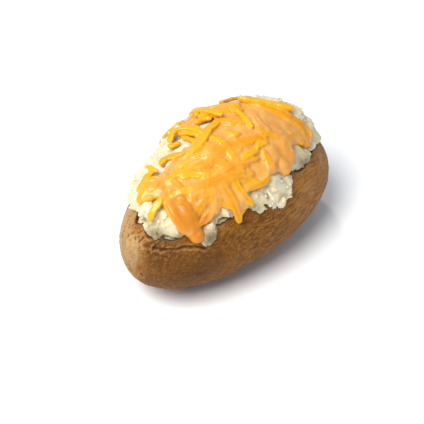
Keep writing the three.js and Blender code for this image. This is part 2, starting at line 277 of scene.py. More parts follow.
def mound_point(plan_x, plan_y):
    across = math.hypot(plan_x / PLAN_HALF_LENGTH, plan_y / PLAN_HALF_WIDTH)
    bearing = math.atan2(plan_y / PLAN_HALF_WIDTH, plan_x / PLAN_HALF_LENGTH)
    polar = min(across, 1) * math.pi / 2
    spread = math.sin(polar) ** (2 / MOUND_FULLNESS)
    widening = 1 + MOUND_WIDENING * spread * math.cos(bearing)
    x = MOUND_X + MOUND_HALF_LENGTH * spread * math.cos(bearing)
    y = MOUND_Y + MOUND_HALF_WIDTH * widening * spread * math.sin(bearing)
    z = MOUND_BASE_Z + MOUND_RISE * math.cos(polar) - max(across - 1, 0) * SLOPE_UNDER_BASE
    return np.array([x, y, z])


def covered_point(plan_x, plan_y):
    """The same point, pushed out to the jacket where the jacket is wider."""
    middle = np.array([0, 0, BELLY_Z])
    ray = mound_point(plan_x, plan_y) - middle
    reach = np.linalg.norm(ray)
    ray = ray / reach
    for _ in range(12):
        short = float(potato_depth(*(middle + ray * reach), offset=-0.4))
        if short > -0.02:
            break
        reach -= short
    return middle + ray * reach


def surface_frame(plan_x, plan_y):
    """Point on the mound or jacket and the outward direction there."""
    step = 0.6
    along_x = covered_point(plan_x + step, plan_y) - covered_point(plan_x - step, plan_y)
    along_y = covered_point(plan_x, plan_y + step) - covered_point(plan_x, plan_y - step)
    out = np.cross(along_x, along_y)
    return covered_point(plan_x, plan_y), out / np.linalg.norm(out)


def back_lumps():
    """Rows of lumps of uneven size round the back of the heap."""
    rows = []
    first, reach = BACK_LUMP_BEARINGS
    for i in range(BACK_LUMPS):
        bearing = math.radians(first + reach * (i + 0.5) / BACK_LUMPS)
        across = chance.uniform(0.76, 0.92)
        radius = BACK_LUMP_RADIUS * chance.uniform(0.75, 1.1)
        x = PLAN_HALF_LENGTH * across * math.cos(bearing)
        y = PLAN_HALF_WIDTH * across * math.sin(bearing)
        rows.append((x, y, radius * chance.uniform(1.0, 1.3), radius, chance.uniform(0, 180)))
    return rows


def lump_shapes():
    """Middle, three axes and three half sizes of each lump."""
    rows = [(row, LUMP_SUNK) for row in LUMPS + back_lumps() + SMALL_LUMPS]
    rows += [(row, PROUD_LUMP_SUNK) for row in PROUD_LUMPS]
    shapes = []
    for (plan_x, plan_y, half_length, half_width, turn), sunk in rows:
        height = LUMP_HEIGHT * half_width
        place, up = surface_frame(plan_x, plan_y)
        heading = np.array([math.cos(math.radians(turn)), math.sin(math.radians(turn)), 0])
        across = np.cross(up, heading)
        across /= np.linalg.norm(across)
        axes = np.array([np.cross(across, up), across, up])
        shapes.append((place - up * sunk * height, axes, np.array([half_length, half_width, height])))
    return shapes


LUMP_SHAPES = lump_shapes()


def ellipsoid_depth(points, place, axes, sizes):
    local = (points - place) @ axes.T.astype(np.float32)
    level = np.linalg.norm(local / sizes, axis=-1)
    slope = np.linalg.norm(local / sizes ** 2, axis=-1)
    return level * (level - 1) / np.maximum(slope, 1e-4)


# ---- grids and skins ----------------------------------------------------------------------------
class Grid:
    """Box of sample points, with the place in mm of every layer along each axis."""

    def __init__(self, xs, ys, zs):
        self.axes = [np.asarray(a, dtype=np.float32) for a in (xs, ys, zs)]
        self.shape = tuple(len(a) for a in self.axes)

    def mesh(self):
        return np.meshgrid(*self.axes, indexing="ij", sparse=True)

    def block(self, low, high):
        """Slices of the grid that hold the box, or None."""
        cuts = []
        for axis, a, b in zip(self.axes, low, high):
            first = int(np.searchsorted(axis, a))
            last = int(np.searchsorted(axis, b))
            if last <= first:
                return None
            cuts.append(slice(first, last))
        return tuple(cuts)

    def points(self, cuts):
        x, y, z = np.meshgrid(*(axis[cut] for axis, cut in zip(self.axes, cuts)), indexing="ij")
        return np.stack([x, y, z], axis=-1)

    def near(self, field, reach):
        """Index of the samples where the field is within the reach of zero, and their places."""
        cells = np.argwhere(np.abs(field) < reach)
        return tuple(cells.T), np.stack([self.axes[i][cells[:, i]] for i in range(3)], axis=1)

    def read(self, field, points):
        """Value of the field at any points, blended between the samples."""
        low = []
        part = []
        for axis, line in enumerate(self.axes):
            at = np.interp(points[:, axis], line, np.arange(len(line)))
            first = np.clip(at.astype(np.int32), 0, len(line) - 2)
            low.append(first)
            part.append((at - first).astype(np.float32))
        total = np.zeros(len(points), dtype=np.float32)
        for corner in product((0, 1), repeat=3):
            weight = np.ones(len(points), dtype=np.float32)
            for axis in range(3):
                weight *= part[axis] if corner[axis] else 1 - part[axis]
            total += weight * field[low[0] + corner[0], low[1] + corner[1], low[2] + corner[2]]
        return total


def window(shape, offsets):
    """Slices one layer short along each axis that has an offset, and whole along the others."""
    return tuple(slice(None) if o is None else slice(o, n - 1 + o) for o, n in zip(offsets, shape))


def fill_pinches(field):
    """Closes the places where the solid would touch itself along only a line or at a point."""
    thin = -0.03
    for _ in range(14):
        inside = field < 0
        found = 0
        for first, second in ((0, 1), (0, 2), (1, 2)):
            cuts = []
            for a, b in ((0, 0), (1, 0), (0, 1), (1, 1)):
                offsets = [None] * 3
                offsets[first] = a
                offsets[second] = b
                cuts.append(window(field.shape, offsets))
            near, right, up, far = (inside[cut] for cut in cuts)
            one = near & far & ~right & ~up
            other = right & up & ~near & ~far
            found += int(one.sum() + other.sum())
            field[cuts[1]][one] = thin
            field[cuts[0]][other] = thin
        inside = field < 0
        for flip_y, flip_z in product((0, 1), repeat=2):
            def corner(a, b, c):
                return window(field.shape, (a, b ^ flip_y, c ^ flip_z))
            both = inside[corner(0, 0, 0)] & inside[corner(1, 1, 1)]
            neither = ~inside[corner(0, 0, 0)] & ~inside[corner(1, 1, 1)]
            for a, b, c in ((1, 0, 0), (0, 1, 0), (0, 0, 1), (1, 1, 0), (1, 0, 1), (0, 1, 1)):
                both &= ~inside[corner(a, b, c)]
                neither &= inside[corner(a, b, c)]
            found += int(both.sum() + neither.sum())
            field[corner(1, 0, 0)][both] = thin
            field[corner(1, 1, 0)][both] = thin
            field[corner(0, 0, 0)][neither] = thin
        if not found:
            return


def skin_of(grid, field):
    """Closed skin of quads round the part of the grid where the field is below zero."""
    for axis in range(3):
        for end in (0, -1):
            cut = [slice(None)] * 3
            cut[axis] = end
            field[tuple(cut)] = np.maximum(field[tuple(cut)], 0.2)
    fill_pinches(field)
    inside = field < 0
    corners = list(product((0, 1), repeat=3))
    count = sum(inside[window(field.shape, corner)].astype(np.int8) for corner in corners)
    active = (count > 0) & (count < 8)
    cells = np.argwhere(active)
    number = np.full(active.shape, -1, dtype=np.int32)
    number[active] = np.arange(len(cells))
    total = np.zeros((len(cells), 3), dtype=np.float32)
    hits = np.zeros(len(cells), dtype=np.float32)
    for start, axis in product(corners, range(3)):
        if start[axis]:
            continue
        end = list(start)
        end[axis] = 1
        a = field[tuple((cells + start).T)]
        b = field[tuple((cells + end).T)]
        crossed = (a < 0) != (b < 0)
        part = np.where(crossed, a / np.where(crossed, a - b, 1), 0)
        for other in range(3):
            total[:, other] += crossed * (start[other] + (part if other == axis else 0))
        hits += crossed
    spots = cells + total / hits[:, None]
    layers = [np.interp(spots[:, i], np.arange(grid.shape[i]), grid.axes[i]) for i in range(3)]
    faces = []
    for axis in range(3):
        second, third = (axis + 1) % 3, (axis + 2) % 3
        low, high = (window(field.shape, [o if i == axis else None for i in range(3)]) for o in (0, 1))
        change = inside[low] != inside[high]
        edges = np.argwhere(change)
        outward = inside[low][change]
        ring = []
        for back_second, back_third in ((1, 1), (0, 1), (0, 0), (1, 0)):
            cell = edges.copy()
            cell[:, second] -= back_second
            cell[:, third] -= back_third
            ring.append(number[tuple(cell.T)])
        quads = np.stack(ring, axis=1)
        quads[~outward] = quads[~outward][:, ::-1]
        faces.append(quads)
    return keep_largest(np.stack(layers, axis=1), np.concatenate(faces))


def keep_largest(points, faces):
    """Drops every loose scrap but the largest body."""
    label = np.arange(len(points))
    ends = np.concatenate([faces[:, [0, 1]], faces[:, [1, 2]], faces[:, [2, 3]]])
    while True:
        low = np.minimum(label[ends[:, 0]], label[ends[:, 1]])
        before = label.copy()
        np.minimum.at(label, ends[:, 0], low)
        np.minimum.at(label, ends[:, 1], low)
        for _ in range(4):
            label = label[label]
        if np.array_equal(before, label):
            break
    kept = label == np.bincount(label).argmax()
    renumber = np.cumsum(kept) - 1
    return points[kept], renumber[faces[kept[faces[:, 0]]]]


def neighbour_mean(points, faces):
    """Mean of the points joined to each point by an edge."""
    total = np.zeros_like(points)
    count = np.zeros(len(points))
    for a, b in ((0, 1), (1, 2), (2, 3), (3, 0)):
        for one, other in ((a, b), (b, a)):
            for axis in range(3):
                total[:, axis] += np.bincount(faces[:, one], points[faces[:, other], axis], len(points))
            count += np.bincount(faces[:, one], minlength=len(points))
    return total / count[:, None]


def relax(points, faces, rounds, firm=0.5, swell=0.53):
    """Evens out a skin without shrinking it."""
    for _ in range(rounds):
        points = points + firm * (neighbour_mean(points, faces) - points)
        points = points - swell * (neighbour_mean(points, faces) - points)
    return points


def outward(points, faces):
    """Unit normal at each point of a skin of quads."""
    across = points[faces[:, 2]] - points[faces[:, 0]]
    other = points[faces[:, 3]] - points[faces[:, 1]]
    normal = np.cross(across, other)
    total = np.zeros_like(points)
    for corner, axis in product(range(4), range(3)):
        total[:, axis] += np.bincount(faces[:, corner], normal[:, axis], len(points))
    return total / np.maximum(np.linalg.norm(total, axis=1), 1e-9)[:, None]


def hollows(points, faces, rounds):
    """Depth in mm of each point below the skin smoothed over that many rounds, positive in a hollow."""
    normal = outward(points, faces)
    smooth = points
    for _ in range(rounds):
        smooth = neighbour_mean(smooth, faces)
    return ((smooth - points) * normal).sum(axis=1)


def new_piece(name, points, faces, material, values):
    """Mesh object at the origin from points in mm and quads, with named values at each point."""
    mesh = bpy.data.meshes.new(name)
    mesh.vertices.add(len(points))
    mesh.vertices.foreach_set("co", (np.asarray(points, dtype=np.float32) * MM).ravel())
    mesh.loops.add(faces.size)
    mesh.loops.foreach_set("vertex_index", faces.astype(np.int32).ravel())
    mesh.polygons.add(len(faces))
    mesh.polygons.foreach_set("loop_start", np.arange(0, faces.size, faces.shape[1], dtype=np.int32))
    mesh.update(calc_edges=True)
    for label, numbers in values.items():
        layer = mesh.attributes.new(label, "FLOAT", "POINT")
        layer.data.foreach_set("value", np.asarray(numbers, dtype=np.float32))
    mesh.materials.append(material)
    return placed(name, mesh)


def placed(name, mesh):
    """Smooth object of that mesh, in the scene."""
    mesh.shade_smooth()
    piece = bpy.data.objects.new(name, mesh)
    bpy.context.scene.collection.objects.link(piece)
    return piece


# ---- materials ----------------------------------------------------------------------------------
# sockets of the Mix node when it mixes colours
MIX_FIRST = 6
MIX_SECOND = 7
MIXED = 2


def paint(red, green, blue):
    """Linear colour from the eye's 0 to 255 values."""
    values = []
    for v in (red, green, blue):
        v /= 255
        values.append(v / 12.92 if v <= 0.04045 else ((v + 0.055) / 1.055) ** 2.4)
    return (*values, 1.0)


def fill(tree, sockets, values):
    """Sets each named socket to its value, or joins it to the output given."""
    for name, value in values.items():
        if isinstance(value, bpy.types.NodeSocket):
            tree.links.new(value, sockets[name])
        else:
            sockets[name].default_value = value


def add_node(tree, kind, values=None, **settings):
    node = tree.nodes.new(kind)
    for name, value in settings.items():
        setattr(node, name, value)
    fill(tree, node.inputs, values or {})
    return node


class Finish:
    """Adds and joins the nodes of one material."""

    def __init__(self, name):
        self.material = bpy.data.materials.new(name)
        self.material.use_nodes = True
        self.tree = self.material.node_tree
        self.object_place = add_node(self.tree, "ShaderNodeTexCoord").outputs["Object"]

    def add(self, kind, result, values, **settings):
        return add_node(self.tree, kind, values, **settings).outputs[result]

    def value(self, label):
        return self.add("ShaderNodeAttribute", "Fac", {}, attribute_name=label)

    def noise(self, bump_mm, detail=3.0, roughness=0.55, stretch=(1, 1, 1), distortion=0.0):
        """Noise from 0 to 1 with bumps of that size, drawn out along the axes."""
        place = self.add("ShaderNodeMapping", "Vector", {
            "Vector": self.object_place, "Scale": tuple(1 / s for s in stretch)})
        return self.add("ShaderNodeTexNoise", "Fac", {
            "Vector": place, "Scale": 1 / (bump_mm * MM), "Detail": detail, "Roughness": roughness,
            "Distortion": distortion})

    def span(self, value, low, high, to_low=0.0, to_high=1.0, kind="SMOOTHSTEP"):
        return self.add("ShaderNodeMapRange", "Result", {
            "Value": value, "From Min": low, "From Max": high, "To Min": to_low, "To Max": to_high,
            }, interpolation_type=kind)

    def times(self, a, b):
        return self.add("ShaderNodeMath", "Value", {0: a, 1: b}, operation="MULTIPLY")

    def mix(self, share, first, second):
        """Blend of two colours, each an output or three values from 0 to 255."""
        first, second = (paint(*c) if isinstance(c, tuple) else c for c in (first, second))
        return self.add("ShaderNodeMix", MIXED, {
            "Factor": share, MIX_FIRST: first, MIX_SECOND: second}, data_type="RGBA")

    def layers(self, colour, rows):
        """Lays colours over each other, each up to its share as its value goes from low to high."""
        for value, low, high, share, over in rows:
            colour = self.mix(self.span(value, low, high, 0, share), colour, over)
        return colour

    def bump(self, rows):
        """Normal of stacked relief, each a height and its depth in mm."""
        normal = {}
        for height, depth_mm in rows:
            values = {"Height": height, "Distance": depth_mm * MM, "Strength": 1.0, **normal}
            normal = {"Normal": self.add("ShaderNodeBump", "Normal", values)}
        return normal["Normal"]

    def done(self, values):
        fill(self.tree, self.tree.nodes["Principled BSDF"].inputs, values)
        return self.material


def skin_finish():
    """Baked russet skin: brown with long fine flecks, a tan that is partly painted light, painted shade in
    the creases and painted highlight on their crests.
    """
    f = Finish("baked russet skin")
    tan_and_light, hollow = f.value("tan_and_light"), f.value("hollow")
    broad = f.noise(15, detail=2, stretch=(1.5, 1, 1))
    patches = f.noise(3.2, detail=5, roughness=0.65, stretch=(3.4, 1, 1))
    streaks = f.noise(0.78, detail=4, roughness=0.62, stretch=(9, 1, 1), distortion=0.15)
    flecks = f.noise(0.42, detail=3, roughness=0.6, stretch=(3, 1, 1))
    pores = f.noise(0.7, detail=2, roughness=0.5, stretch=(1.5, 1, 1))
    on_brown = f.span(tan_and_light, 0.2, 0.9, 1, 0.45)
    brown = f.mix(f.span(broad, 0.34, 0.66), (120, 72, 16), (136, 85, 22))
    golden_and_lit = f.mix(f.span(broad, 0.3, 0.7), (182, 148, 102), (196, 164, 118))
    colour = f.layers(brown, (
        # tan: golden skin at the left end and up the right side, partly its own colour and partly painted
        # light
        (tan_and_light, 0, 0.5, 1, (164, 110, 54)),
        (tan_and_light, 0.45, 1, 1, golden_and_lit),
        (patches, 0.5, 0.65, 0.55, (90, 51, 12)),
        (patches, 0.47, 0.33, 0.55, (152, 102, 32)),
        (streaks, 0.51, 0.62, f.times(on_brown, 0.68), (70, 38, 10)),
        (streaks, 0.48, 0.37, 0.62, (170, 118, 44)),
        (flecks, 0.55, 0.66, 0.4, (192, 142, 66)),
        (pores, 0.36, 0.27, f.times(on_brown, 0.5), (62, 33, 10))))
    # darker where baked, and painted shade where the spots lie under the flesh's overhang and low down
    colour = f.mix(f.value("scorch_and_shade"), colour, (88, 52, 16))
    # painted shade darkens the hollows of the skin and painted highlight lightens its crests
    colour = f.layers(colour, (
        (hollow, 0.05, 0.28, 0.7, (62, 32, 12)),
        (hollow, -0.06, -0.3, 0.35, (190, 146, 84))))
    return f.done({
        "Base Color": f.mix(f.value("torn"), colour, (84, 50, 26)),
        "Roughness": f.span(streaks, 0.3, 0.7, 0.46, 0.62), "Specular IOR Level": 0.14,
        "Subsurface Weight": 0.03, "Subsurface Radius": (0.002, 0.001, 0.0006), "Subsurface Scale": 1.0,
        "Normal": f.bump(((patches, 0.35), (streaks, 0.4), (flecks, 0.22)))})


def flesh_finish(name, softness):
    """Fluffy baked flesh: cream, with painted light on the crests and painted shade in the hollows."""
    f = Finish(name)
    hollow, clear = f.value("hollow"), f.value("clear")
    broad = f.noise(9, detail=3)
    grain = f.noise(1.3, detail=4, roughness=0.65)
    fine = f.noise(0.5, detail=3, roughness=0.6)
    cream = f.mix(f.span(broad, 0.35, 0.65), (222, 212, 184), (214, 198, 158))
    # painted shade darkens and warms the hollows, and painted light pales the crests
    colour = f.layers(cream, (
        (hollow, 0.0, 0.8, 0.7, (204, 176, 126)),
        (hollow, 0.6, 1.6, 0.85, (180, 134, 82)),
        (hollow, -0.1, -0.8, 0.6, (236, 227, 202)),
        (grain, 0.55, 0.75, 0.2, (216, 192, 140))))
    return f.done({
        "Base Color": f.mix(f.times(clear, 0.95), colour, (122, 103, 66)),
        "Roughness": f.span(clear, 0, 1, 0.5, 0.22), "Specular IOR Level": 0.4,
        "Subsurface Weight": softness, "Subsurface Radius": (0.0026, 0.0018, 0.0010),
        "Subsurface Scale": 1.0, "Normal": f.bump(((grain, 0.3), (fine, 0.14)))})


def cheese_finish():
    """Melted cheese: glossy, peach where it has run to a sauce and yellow where a shred still holds."""
    f = Finish("melted cheese")
    tone, hollow = f.value("tone"), f.value("hollow")
    broad = f.noise(9, detail=2)
    fine = f.noise(1.6, detail=3)
    peach = f.mix(f.span(broad, 0.36, 0.64), (223, 164, 84), (216, 149, 64))
    # deeper orange with the tone; towards the front left this is partly painted shade
    peach = f.mix(f.span(tone, 0.5, 1, 0, 0.85, kind="LINEAR"), peach, (198, 120, 8))
    # painted shade: darker orange in the hollows of the sauce
    sauce = f.layers(peach, (
        (hollow, 0.1, 0.9, 0.65, (202, 110, 16)),
        (fine, 0.5, 0.75, 0.1, (230, 168, 96))))
    # painted shade darkens the shreds in their hollows and painted highlight lightens their crests
    strand = f.layers(f.mix(tone, (230, 169, 5), (220, 144, 4)), (
        (hollow, 0.05, 0.7, 0.6, (206, 118, 3)),
        (hollow, -0.2, -0.9, 0.5, (240, 193, 40))))
    return f.done({
        "Base Color": f.mix(f.times(f.value("shred"), 0.95), sauce, strand),
        "Roughness": f.span(fine, 0.35, 0.65, 0.24, 0.36), "Specular IOR Level": 0.26,
        "Subsurface Weight": 0.3, "Subsurface Radius": (0.003, 0.0017, 0.0005), "Subsurface Scale": 1.0,
        "Coat Weight": 0.25, "Coat Roughness": 0.1, "Normal": f.bump(((fine, 0.1),))})


# ---- jacket -------------------------------------------------------------------------------------
AROUND = 600
OUTER_ROWS = 122
INNER_ROWS = 22
LIP_ROWS = 4
ROWS_TO_FULL_WALL = 4
ROWS_UNDER_RELIEF = 3
LIP_SHARE = 0.62
# how much closer the rows of the outside lie towards the rim
ROW_SPREAD = 0.82
FLAT_SPOT_EDGE = 1.6
# place in mm, half length, half width and depth in mm of each healed eye or crack, run along X
SCARS = [
    ((-64, -3.5, 26), 1.6, 0.7, 1.0), ((-30, -35, 22), 2.2, 1.0, 0.5), ((12, -40, 25), 1.8, 1.2, 0.45),
    ((38, -37, 20), 2.6, 0.8, 0.5), ((52, -22, 34), 1.6, 1.1, 0.4), ((-5, -37, 13), 2.6, 0.8, 0.4),
    ((-48, 18, 30), 2.2, 1.2, 0.5), ((-20, 35, 30), 2.8, 1.0, 0.55), ((8, 38, 22), 1.8, 1.3, 0.5),
    ((33, 36, 34), 2.4, 0.9, 0.5), ((55, 18, 24), 2.0, 1.1, 0.5), ((62, -2, 30), 1.8, 1.4, 0.6),
]
# depth and width in mm of each crease where the skin shrank under the rim, and the line it follows
CREASES = [
    (0.75, 0.6, [(-60, -7, 42.5), (-56.5, -12.5, 42), (-49.5, -18.5, 42.4), (-42, -24.5, 40)]),
    (0.35, 0.6, [(-60.5, -9, 40), (-58, -14, 39)]),
    (0.35, 0.6, [(-50, -19, 40.5), (-43, -24, 38)]),
    (0.5, 0.6, [(-52, 16, 44), (-56, 15, 41), (-59, 12, 37)]),
]
# middle and radii in mm of the shrunken skin at the left end, and the way it is gathered
SHRUNKEN = ((-58.5, 3.5, 43.5), (10, 11, 6))
WRINKLE_RUN = (0.5, -0.52, 0.69)
# share, middle and radii in mm of each darker spot, partly baked scorch and partly painted shade under the
# flesh's overhang and low on the left end: first the mottled ones, then the even ones
MOTTLED_SCORCH_AND_SHADE = [
    (0.35, (-40, -27, 34), (20, 12, 12)), (0.8, (-57, -12, 41.5), (9, 10, 8)),
    (0.35, (-62, -7, 31), (7, 9, 7)),
]
EVEN_SCORCH_AND_SHADE = [(0.6, (-50, -25, 25), (17, 12, 13)), (0.4, (-62, -12, 21), (9, 11, 9))]
# way in which the tan of the left end grows; this tan is partly the skin's own colour and partly painted
# light
TAN_AND_LIGHT_RUN = (-0.64, 0.77, 0.15)


def line_distance(points, line):
    """Distance of each point from a line through the given places."""
    line = np.array(line, dtype=float)
    nearest = np.full(len(points), 1e9)
    for start, end in zip(line[:-1], line[1:]):
        along = end - start
        part = np.clip((points - start) @ along / (along @ along), 0, 1)
        nearest = np.minimum(nearest, np.linalg.norm(points - start - part[:, None] * along, axis=1))
    return nearest


def halved(low, high, rounds, is_low):
    """Value between low and high where the test turns, closed in on by halving."""
    for _ in range(rounds):
        middle = (low + high) / 2
        under = is_low(middle)
        low = np.where(under, middle, low)
        high = np.where(under, high, middle)
    return low


def jacket_point(tilt, turn, offset=0.0):
    """Points of the smooth jacket at a tilt above the belly and a turn round it."""
    rays = np.stack([
        HALF_LENGTH * np.cos(tilt) * np.cos(turn),
        HALF_WIDTH * np.cos(tilt) * np.sin(turn),
        DEPTH_UNDER_BELLY * np.sin(tilt)], axis=1)
    rays /= np.linalg.norm(rays, axis=1)[:, None]

    def inside(reach):
        place = rays * reach[:, None]
        return potato_depth(place[:, 0], place[:, 1], place[:, 2] + BELLY_Z, offset) < 0
    reach = halved(np.zeros(len(rays)), np.full(len(rays), HALF_LENGTH * 1.4), 26, inside)
    points = rays * reach[:, None]
    points[:, 2] = np.maximum(points[:, 2] + BELLY_Z, 0)
    return points


def rim_tilt(turn):
    """Tilt at which the torn rim lies at each turn."""
    def under_rim(tilt):
        place = jacket_point(tilt, turn)
        bearing = rim_bearing(place[:, 0], place[:, 1])
        ring = np.stack([24 * np.cos(bearing), 24 * np.sin(bearing), 0 * bearing], axis=1)
        frayed = 0.7 * noise(ring, 2.6, 31) + 0.35 * noise(ring, 1.1, 32)
        return place[:, 2] < rim_height(bearing) + frayed
    return halved(np.zeros(len(turn)), np.full(len(turn), 1.35), 20, under_rim)


def potato_outward(points):
    slopes = []
    for shift in np.eye(3) * 0.05:
        slopes.append(potato_depth(*(points + shift).T) - potato_depth(*(points - shift).T))
    normal = np.stack(slopes, axis=1)
    return normal / np.linalg.norm(normal, axis=1)[:, None]


def along_wrinkles(points):
    """The points in axes of which the first runs along the wrinkles of the shrunken end."""
    run = np.array(WRINKLE_RUN) / np.linalg.norm(WRINKLE_RUN)
    aside = np.cross(run, (0, 0, 1.0))
    aside /= np.linalg.norm(aside)
    return points @ np.array([run, aside, np.cross(run, aside)]).T


def skin_relief(points):
    """Height in mm that the skin stands out of the smooth potato."""
    warp = drift(points, 9, 41)
    moved = points + 2.2 * warp
    left_end = smooth_step(-points[:, 0], 14, 56)
    upper = smooth_step(points[:, 2], 16, 40)
    right_end = smooth_step(points[:, 0], 30, 60)
    height = 0.55 * noise(points, 26, 44) + 0.34 * noise(points, 12, 45) + 0.16 * noise(moved, 6, 46)
    shrunk = blob(points, *SHRUNKEN)
    gathered = along_wrinkles(points + 0.8 * warp)
    height += 0.95 * ridge(gathered, (9, 2.6, 2.6), 47, 1.4) * shrunk
    height += 0.6 * ridge(gathered, (4.5, 1.5, 1.5), 48, 1.4) * (0.1 * left_end * upper + shrunk)
    height -= 0.55 * shrunk * smooth_step(noise(gathered, (3.4, 1.4, 1.4), 59), 0.2, 0.7)
    height += 0.14 * ridge(moved, (16, 2.4, 2.4), 55)
    height += 0.12 * ridge(moved, (4, 6, 2.6), 49) * right_end
    height -= 0.2 * ridge(moved, (26, 3.6, 3.6), 50, 3)
    height += 0.1 * noise(moved, (7, 1.7, 1.7), 51) + 0.06 * noise(moved, (3.4, 0.95, 0.95), 52)
    wander = points + 0.6 * drift(points, 4, 56)
    for depth, width, line in CREASES:
        gap = line_distance(wander, line) / width
        height += depth * (0.25 * np.exp(-(gap - 1.9) ** 2) - np.exp(-gap ** 2))
    for place, half_length, half_width, depth in SCARS:
        away = points - np.array(place)
        along = away[:, 0] / half_length
        aside = np.hypot(away[:, 1], away[:, 2]) / half_width
        height -= depth * np.exp(-(along ** 2) - np.clip(aside - 0.2, 0, None) ** 2)
        height += 0.3 * depth * np.exp(-(along / 1.5) ** 2 - (aside - 2.3) ** 2)
    return height


def jacket_rings():
    """Rings of points up the outside of the skin, over its torn lip and down the inside."""
    turn = np.arange(AROUND) / AROUND * 2 * math.pi
    top = rim_tilt(turn)
    foot = -math.pi / 2
    shares = ((np.arange(OUTER_ROWS) + 1) / OUTER_ROWS) ** ROW_SPREAD
    smooth = np.concatenate([jacket_point(foot + (top - foot) * share, turn) for share in shares])
    normal = potato_outward(smooth)
    height = skin_relief(smooth)
    outer = smooth + normal * height[:, None] * smooth_step(smooth[:, 2], 0.0, FLAT_SPOT_EDGE)[:, None]
    outer[:, 2] = np.maximum(outer[:, 2], 0)
    rings = list(outer.reshape(OUTER_ROWS, AROUND, 3))
    rim, rim_normal, rim_relief = rings[-1], normal[-AROUND:], height[-AROUND:]
    up = rim - rings[-2]
    up -= (up * rim_normal).sum(axis=1)[:, None] * rim_normal
    up /= np.linalg.norm(up, axis=1)[:, None]
    wall = JACKET_WALL * LIP_SHARE
    for i in range(1, LIP_ROWS):
        turned = math.pi * i / LIP_ROWS
        inward = rim_normal * wall / 2 * (1 - math.cos(turned))
        rings.append(rim - inward + up * wall / 2 * math.sin(turned))
    for i in range(INNER_ROWS):
        place = jacket_point(foot + (top - foot) * (1 - i / INNER_ROWS), turn)
        thick = wall + (JACKET_WALL - wall) * smooth_step(i, 0, ROWS_TO_FULL_WALL)
        follow = max(0.0, 1 - i / ROWS_UNDER_RELIEF)
        place = place + potato_outward(place) * (rim_relief[:, None] * follow - thick)
        place[:, 2] = np.maximum(place[:, 2], JACKET_WALL)
        rings.append(place)
    return rings


def ring_faces(count):
    """Quads between the rings, and round a point under the first ring and one over the last."""
    grid = np.arange(count * AROUND).reshape(count, AROUND)
    after = np.roll(grid, -1, axis=1)
    sides = np.stack([grid[:-1], after[:-1], after[1:], grid[1:]], axis=-1).reshape(-1, 4)
    near = np.arange(0, AROUND, 2)
    far = (near + 2) % AROUND
    foot = np.full(len(near), count * AROUND)
    bottom = np.stack([foot, grid[0][far], grid[0][near + 1], grid[0][near]], axis=1)
    inside = np.stack([grid[-1][near], grid[-1][near + 1], grid[-1][far], foot + 1], axis=1)
    return np.concatenate([sides, bottom, inside])


def make_jacket():
    rings = jacket_rings()
    points = np.concatenate(rings + [[(0, 0, 0.0)], [(0, 0, JACKET_WALL)]])
    faces = ring_faces(len(rings))
    # tan mask: lighter at the left end and on the upper right side, partly the skin's colour and partly
    # painted light
    tip = points @ np.array(TAN_AND_LIGHT_RUN) - TAN_AND_LIGHT_RUN[2] * 30
    tip = smooth_step(tip + 4 * noise(points, 14, 57) + 2 * noise(points, 5, 58), 32, 48)
    tan_and_light = tip * smooth_step(-points[:, 0], 30, 54)
    tan_and_light += 0.55 * smooth_step(points[:, 0], -12, 30) * smooth_step(points[:, 2], 16, 40)
    tan_and_light += 0.08 * smooth_step(points[:, 1], 10, 30) + 0.2 * noise(points, 8, 53)
    # darker spots, partly baked scorch and partly painted shade under the flesh's overhang and low on the
    # left end
    scorch_and_shade = blobs(points, MOTTLED_SCORCH_AND_SHADE) * (1 + 0.5 * noise(points, (7, 5, 5), 60))
    scorch_and_shade += blobs(points, EVEN_SCORCH_AND_SHADE)
    scorch_and_shade += 0.2 * smooth_step(noise(points, (26, 6, 6), 54), 0.2, 0.75)
    # painted shade: darker towards the bottom
    scorch_and_shade += 0.3 * smooth_step(points[:, 2], 26, 8)
    ring = np.arange(len(points)) // AROUND - OUTER_ROWS
    return new_piece("baked_jacket", points, faces, skin_finish(), {
        "tan_and_light": np.clip(tan_and_light, 0, 1), "scorch_and_shade": np.clip(scorch_and_shade, 0, 1), "torn": np.clip(ring / 2 + 1.5, 0, 1),
        "hollow": hollows(points, faces, 10)})


# ---- flesh --------------------------------------------------------------------------------------
FLESH_STEP = 0.62
HIDDEN_STEP = 2.6
HEAP_FOOT_Z = 38
# middle in mm and size of each chunk of flesh that the steam left clear and glassy
CLEAR_CHUNKS = [
    ((-39, -26, 44.5), (6.5, 5, 5)), ((-57, -6, 48), (4, 6, 4)), ((-16, -32, 45.5), (6, 4, 3)),
    ((31, -30, 48), (7, 4, 4)), ((-51, -15, 45.5), (6, 5, 3)),
]


def lumps_near(grid, margin):
    """Block of the grid round each lump, and the lump's depth there."""
    for place, axes, sizes in LUMP_SHAPES:
        reach = sizes.max() + margin
        cuts = grid.block(place - reach, place + reach)
        if cuts is not None:
            yield cuts, ellipsoid_depth(grid.points(cuts), place, axes, sizes)


def carry_depth(x, y, z):
    """Depth under the soft surface that carries the cheese: the mound, its lumps and the jacket."""
    points = np.stack(np.broadcast_arrays(x, y, z), axis=-1).astype(np.float32)
    depth = mound_depth(x, y, z)
    for place, axes, sizes in LUMP_SHAPES:
        depth = join(depth, ellipsoid_depth(points, place, axes, sizes) + 1.5, 5.0)
    return join(depth, potato_depth(x, y, z), 1.5)


def carry_field(grid):
    """The same over a whole grid, lump by lump in its own block."""
    x, y, z = grid.mesh()
    field = mound_depth(x, y, z).astype(np.float32)
    field = np.where(z < 30, np.maximum(field, 30 - z), field).astype(np.float32)
    for cuts, depth in lumps_near(grid, 8):
        field[cuts] = join(field[cuts], depth + 1.5, 5.0)
    return join(field, potato_depth(x, y, z).astype(np.float32), 1.5)


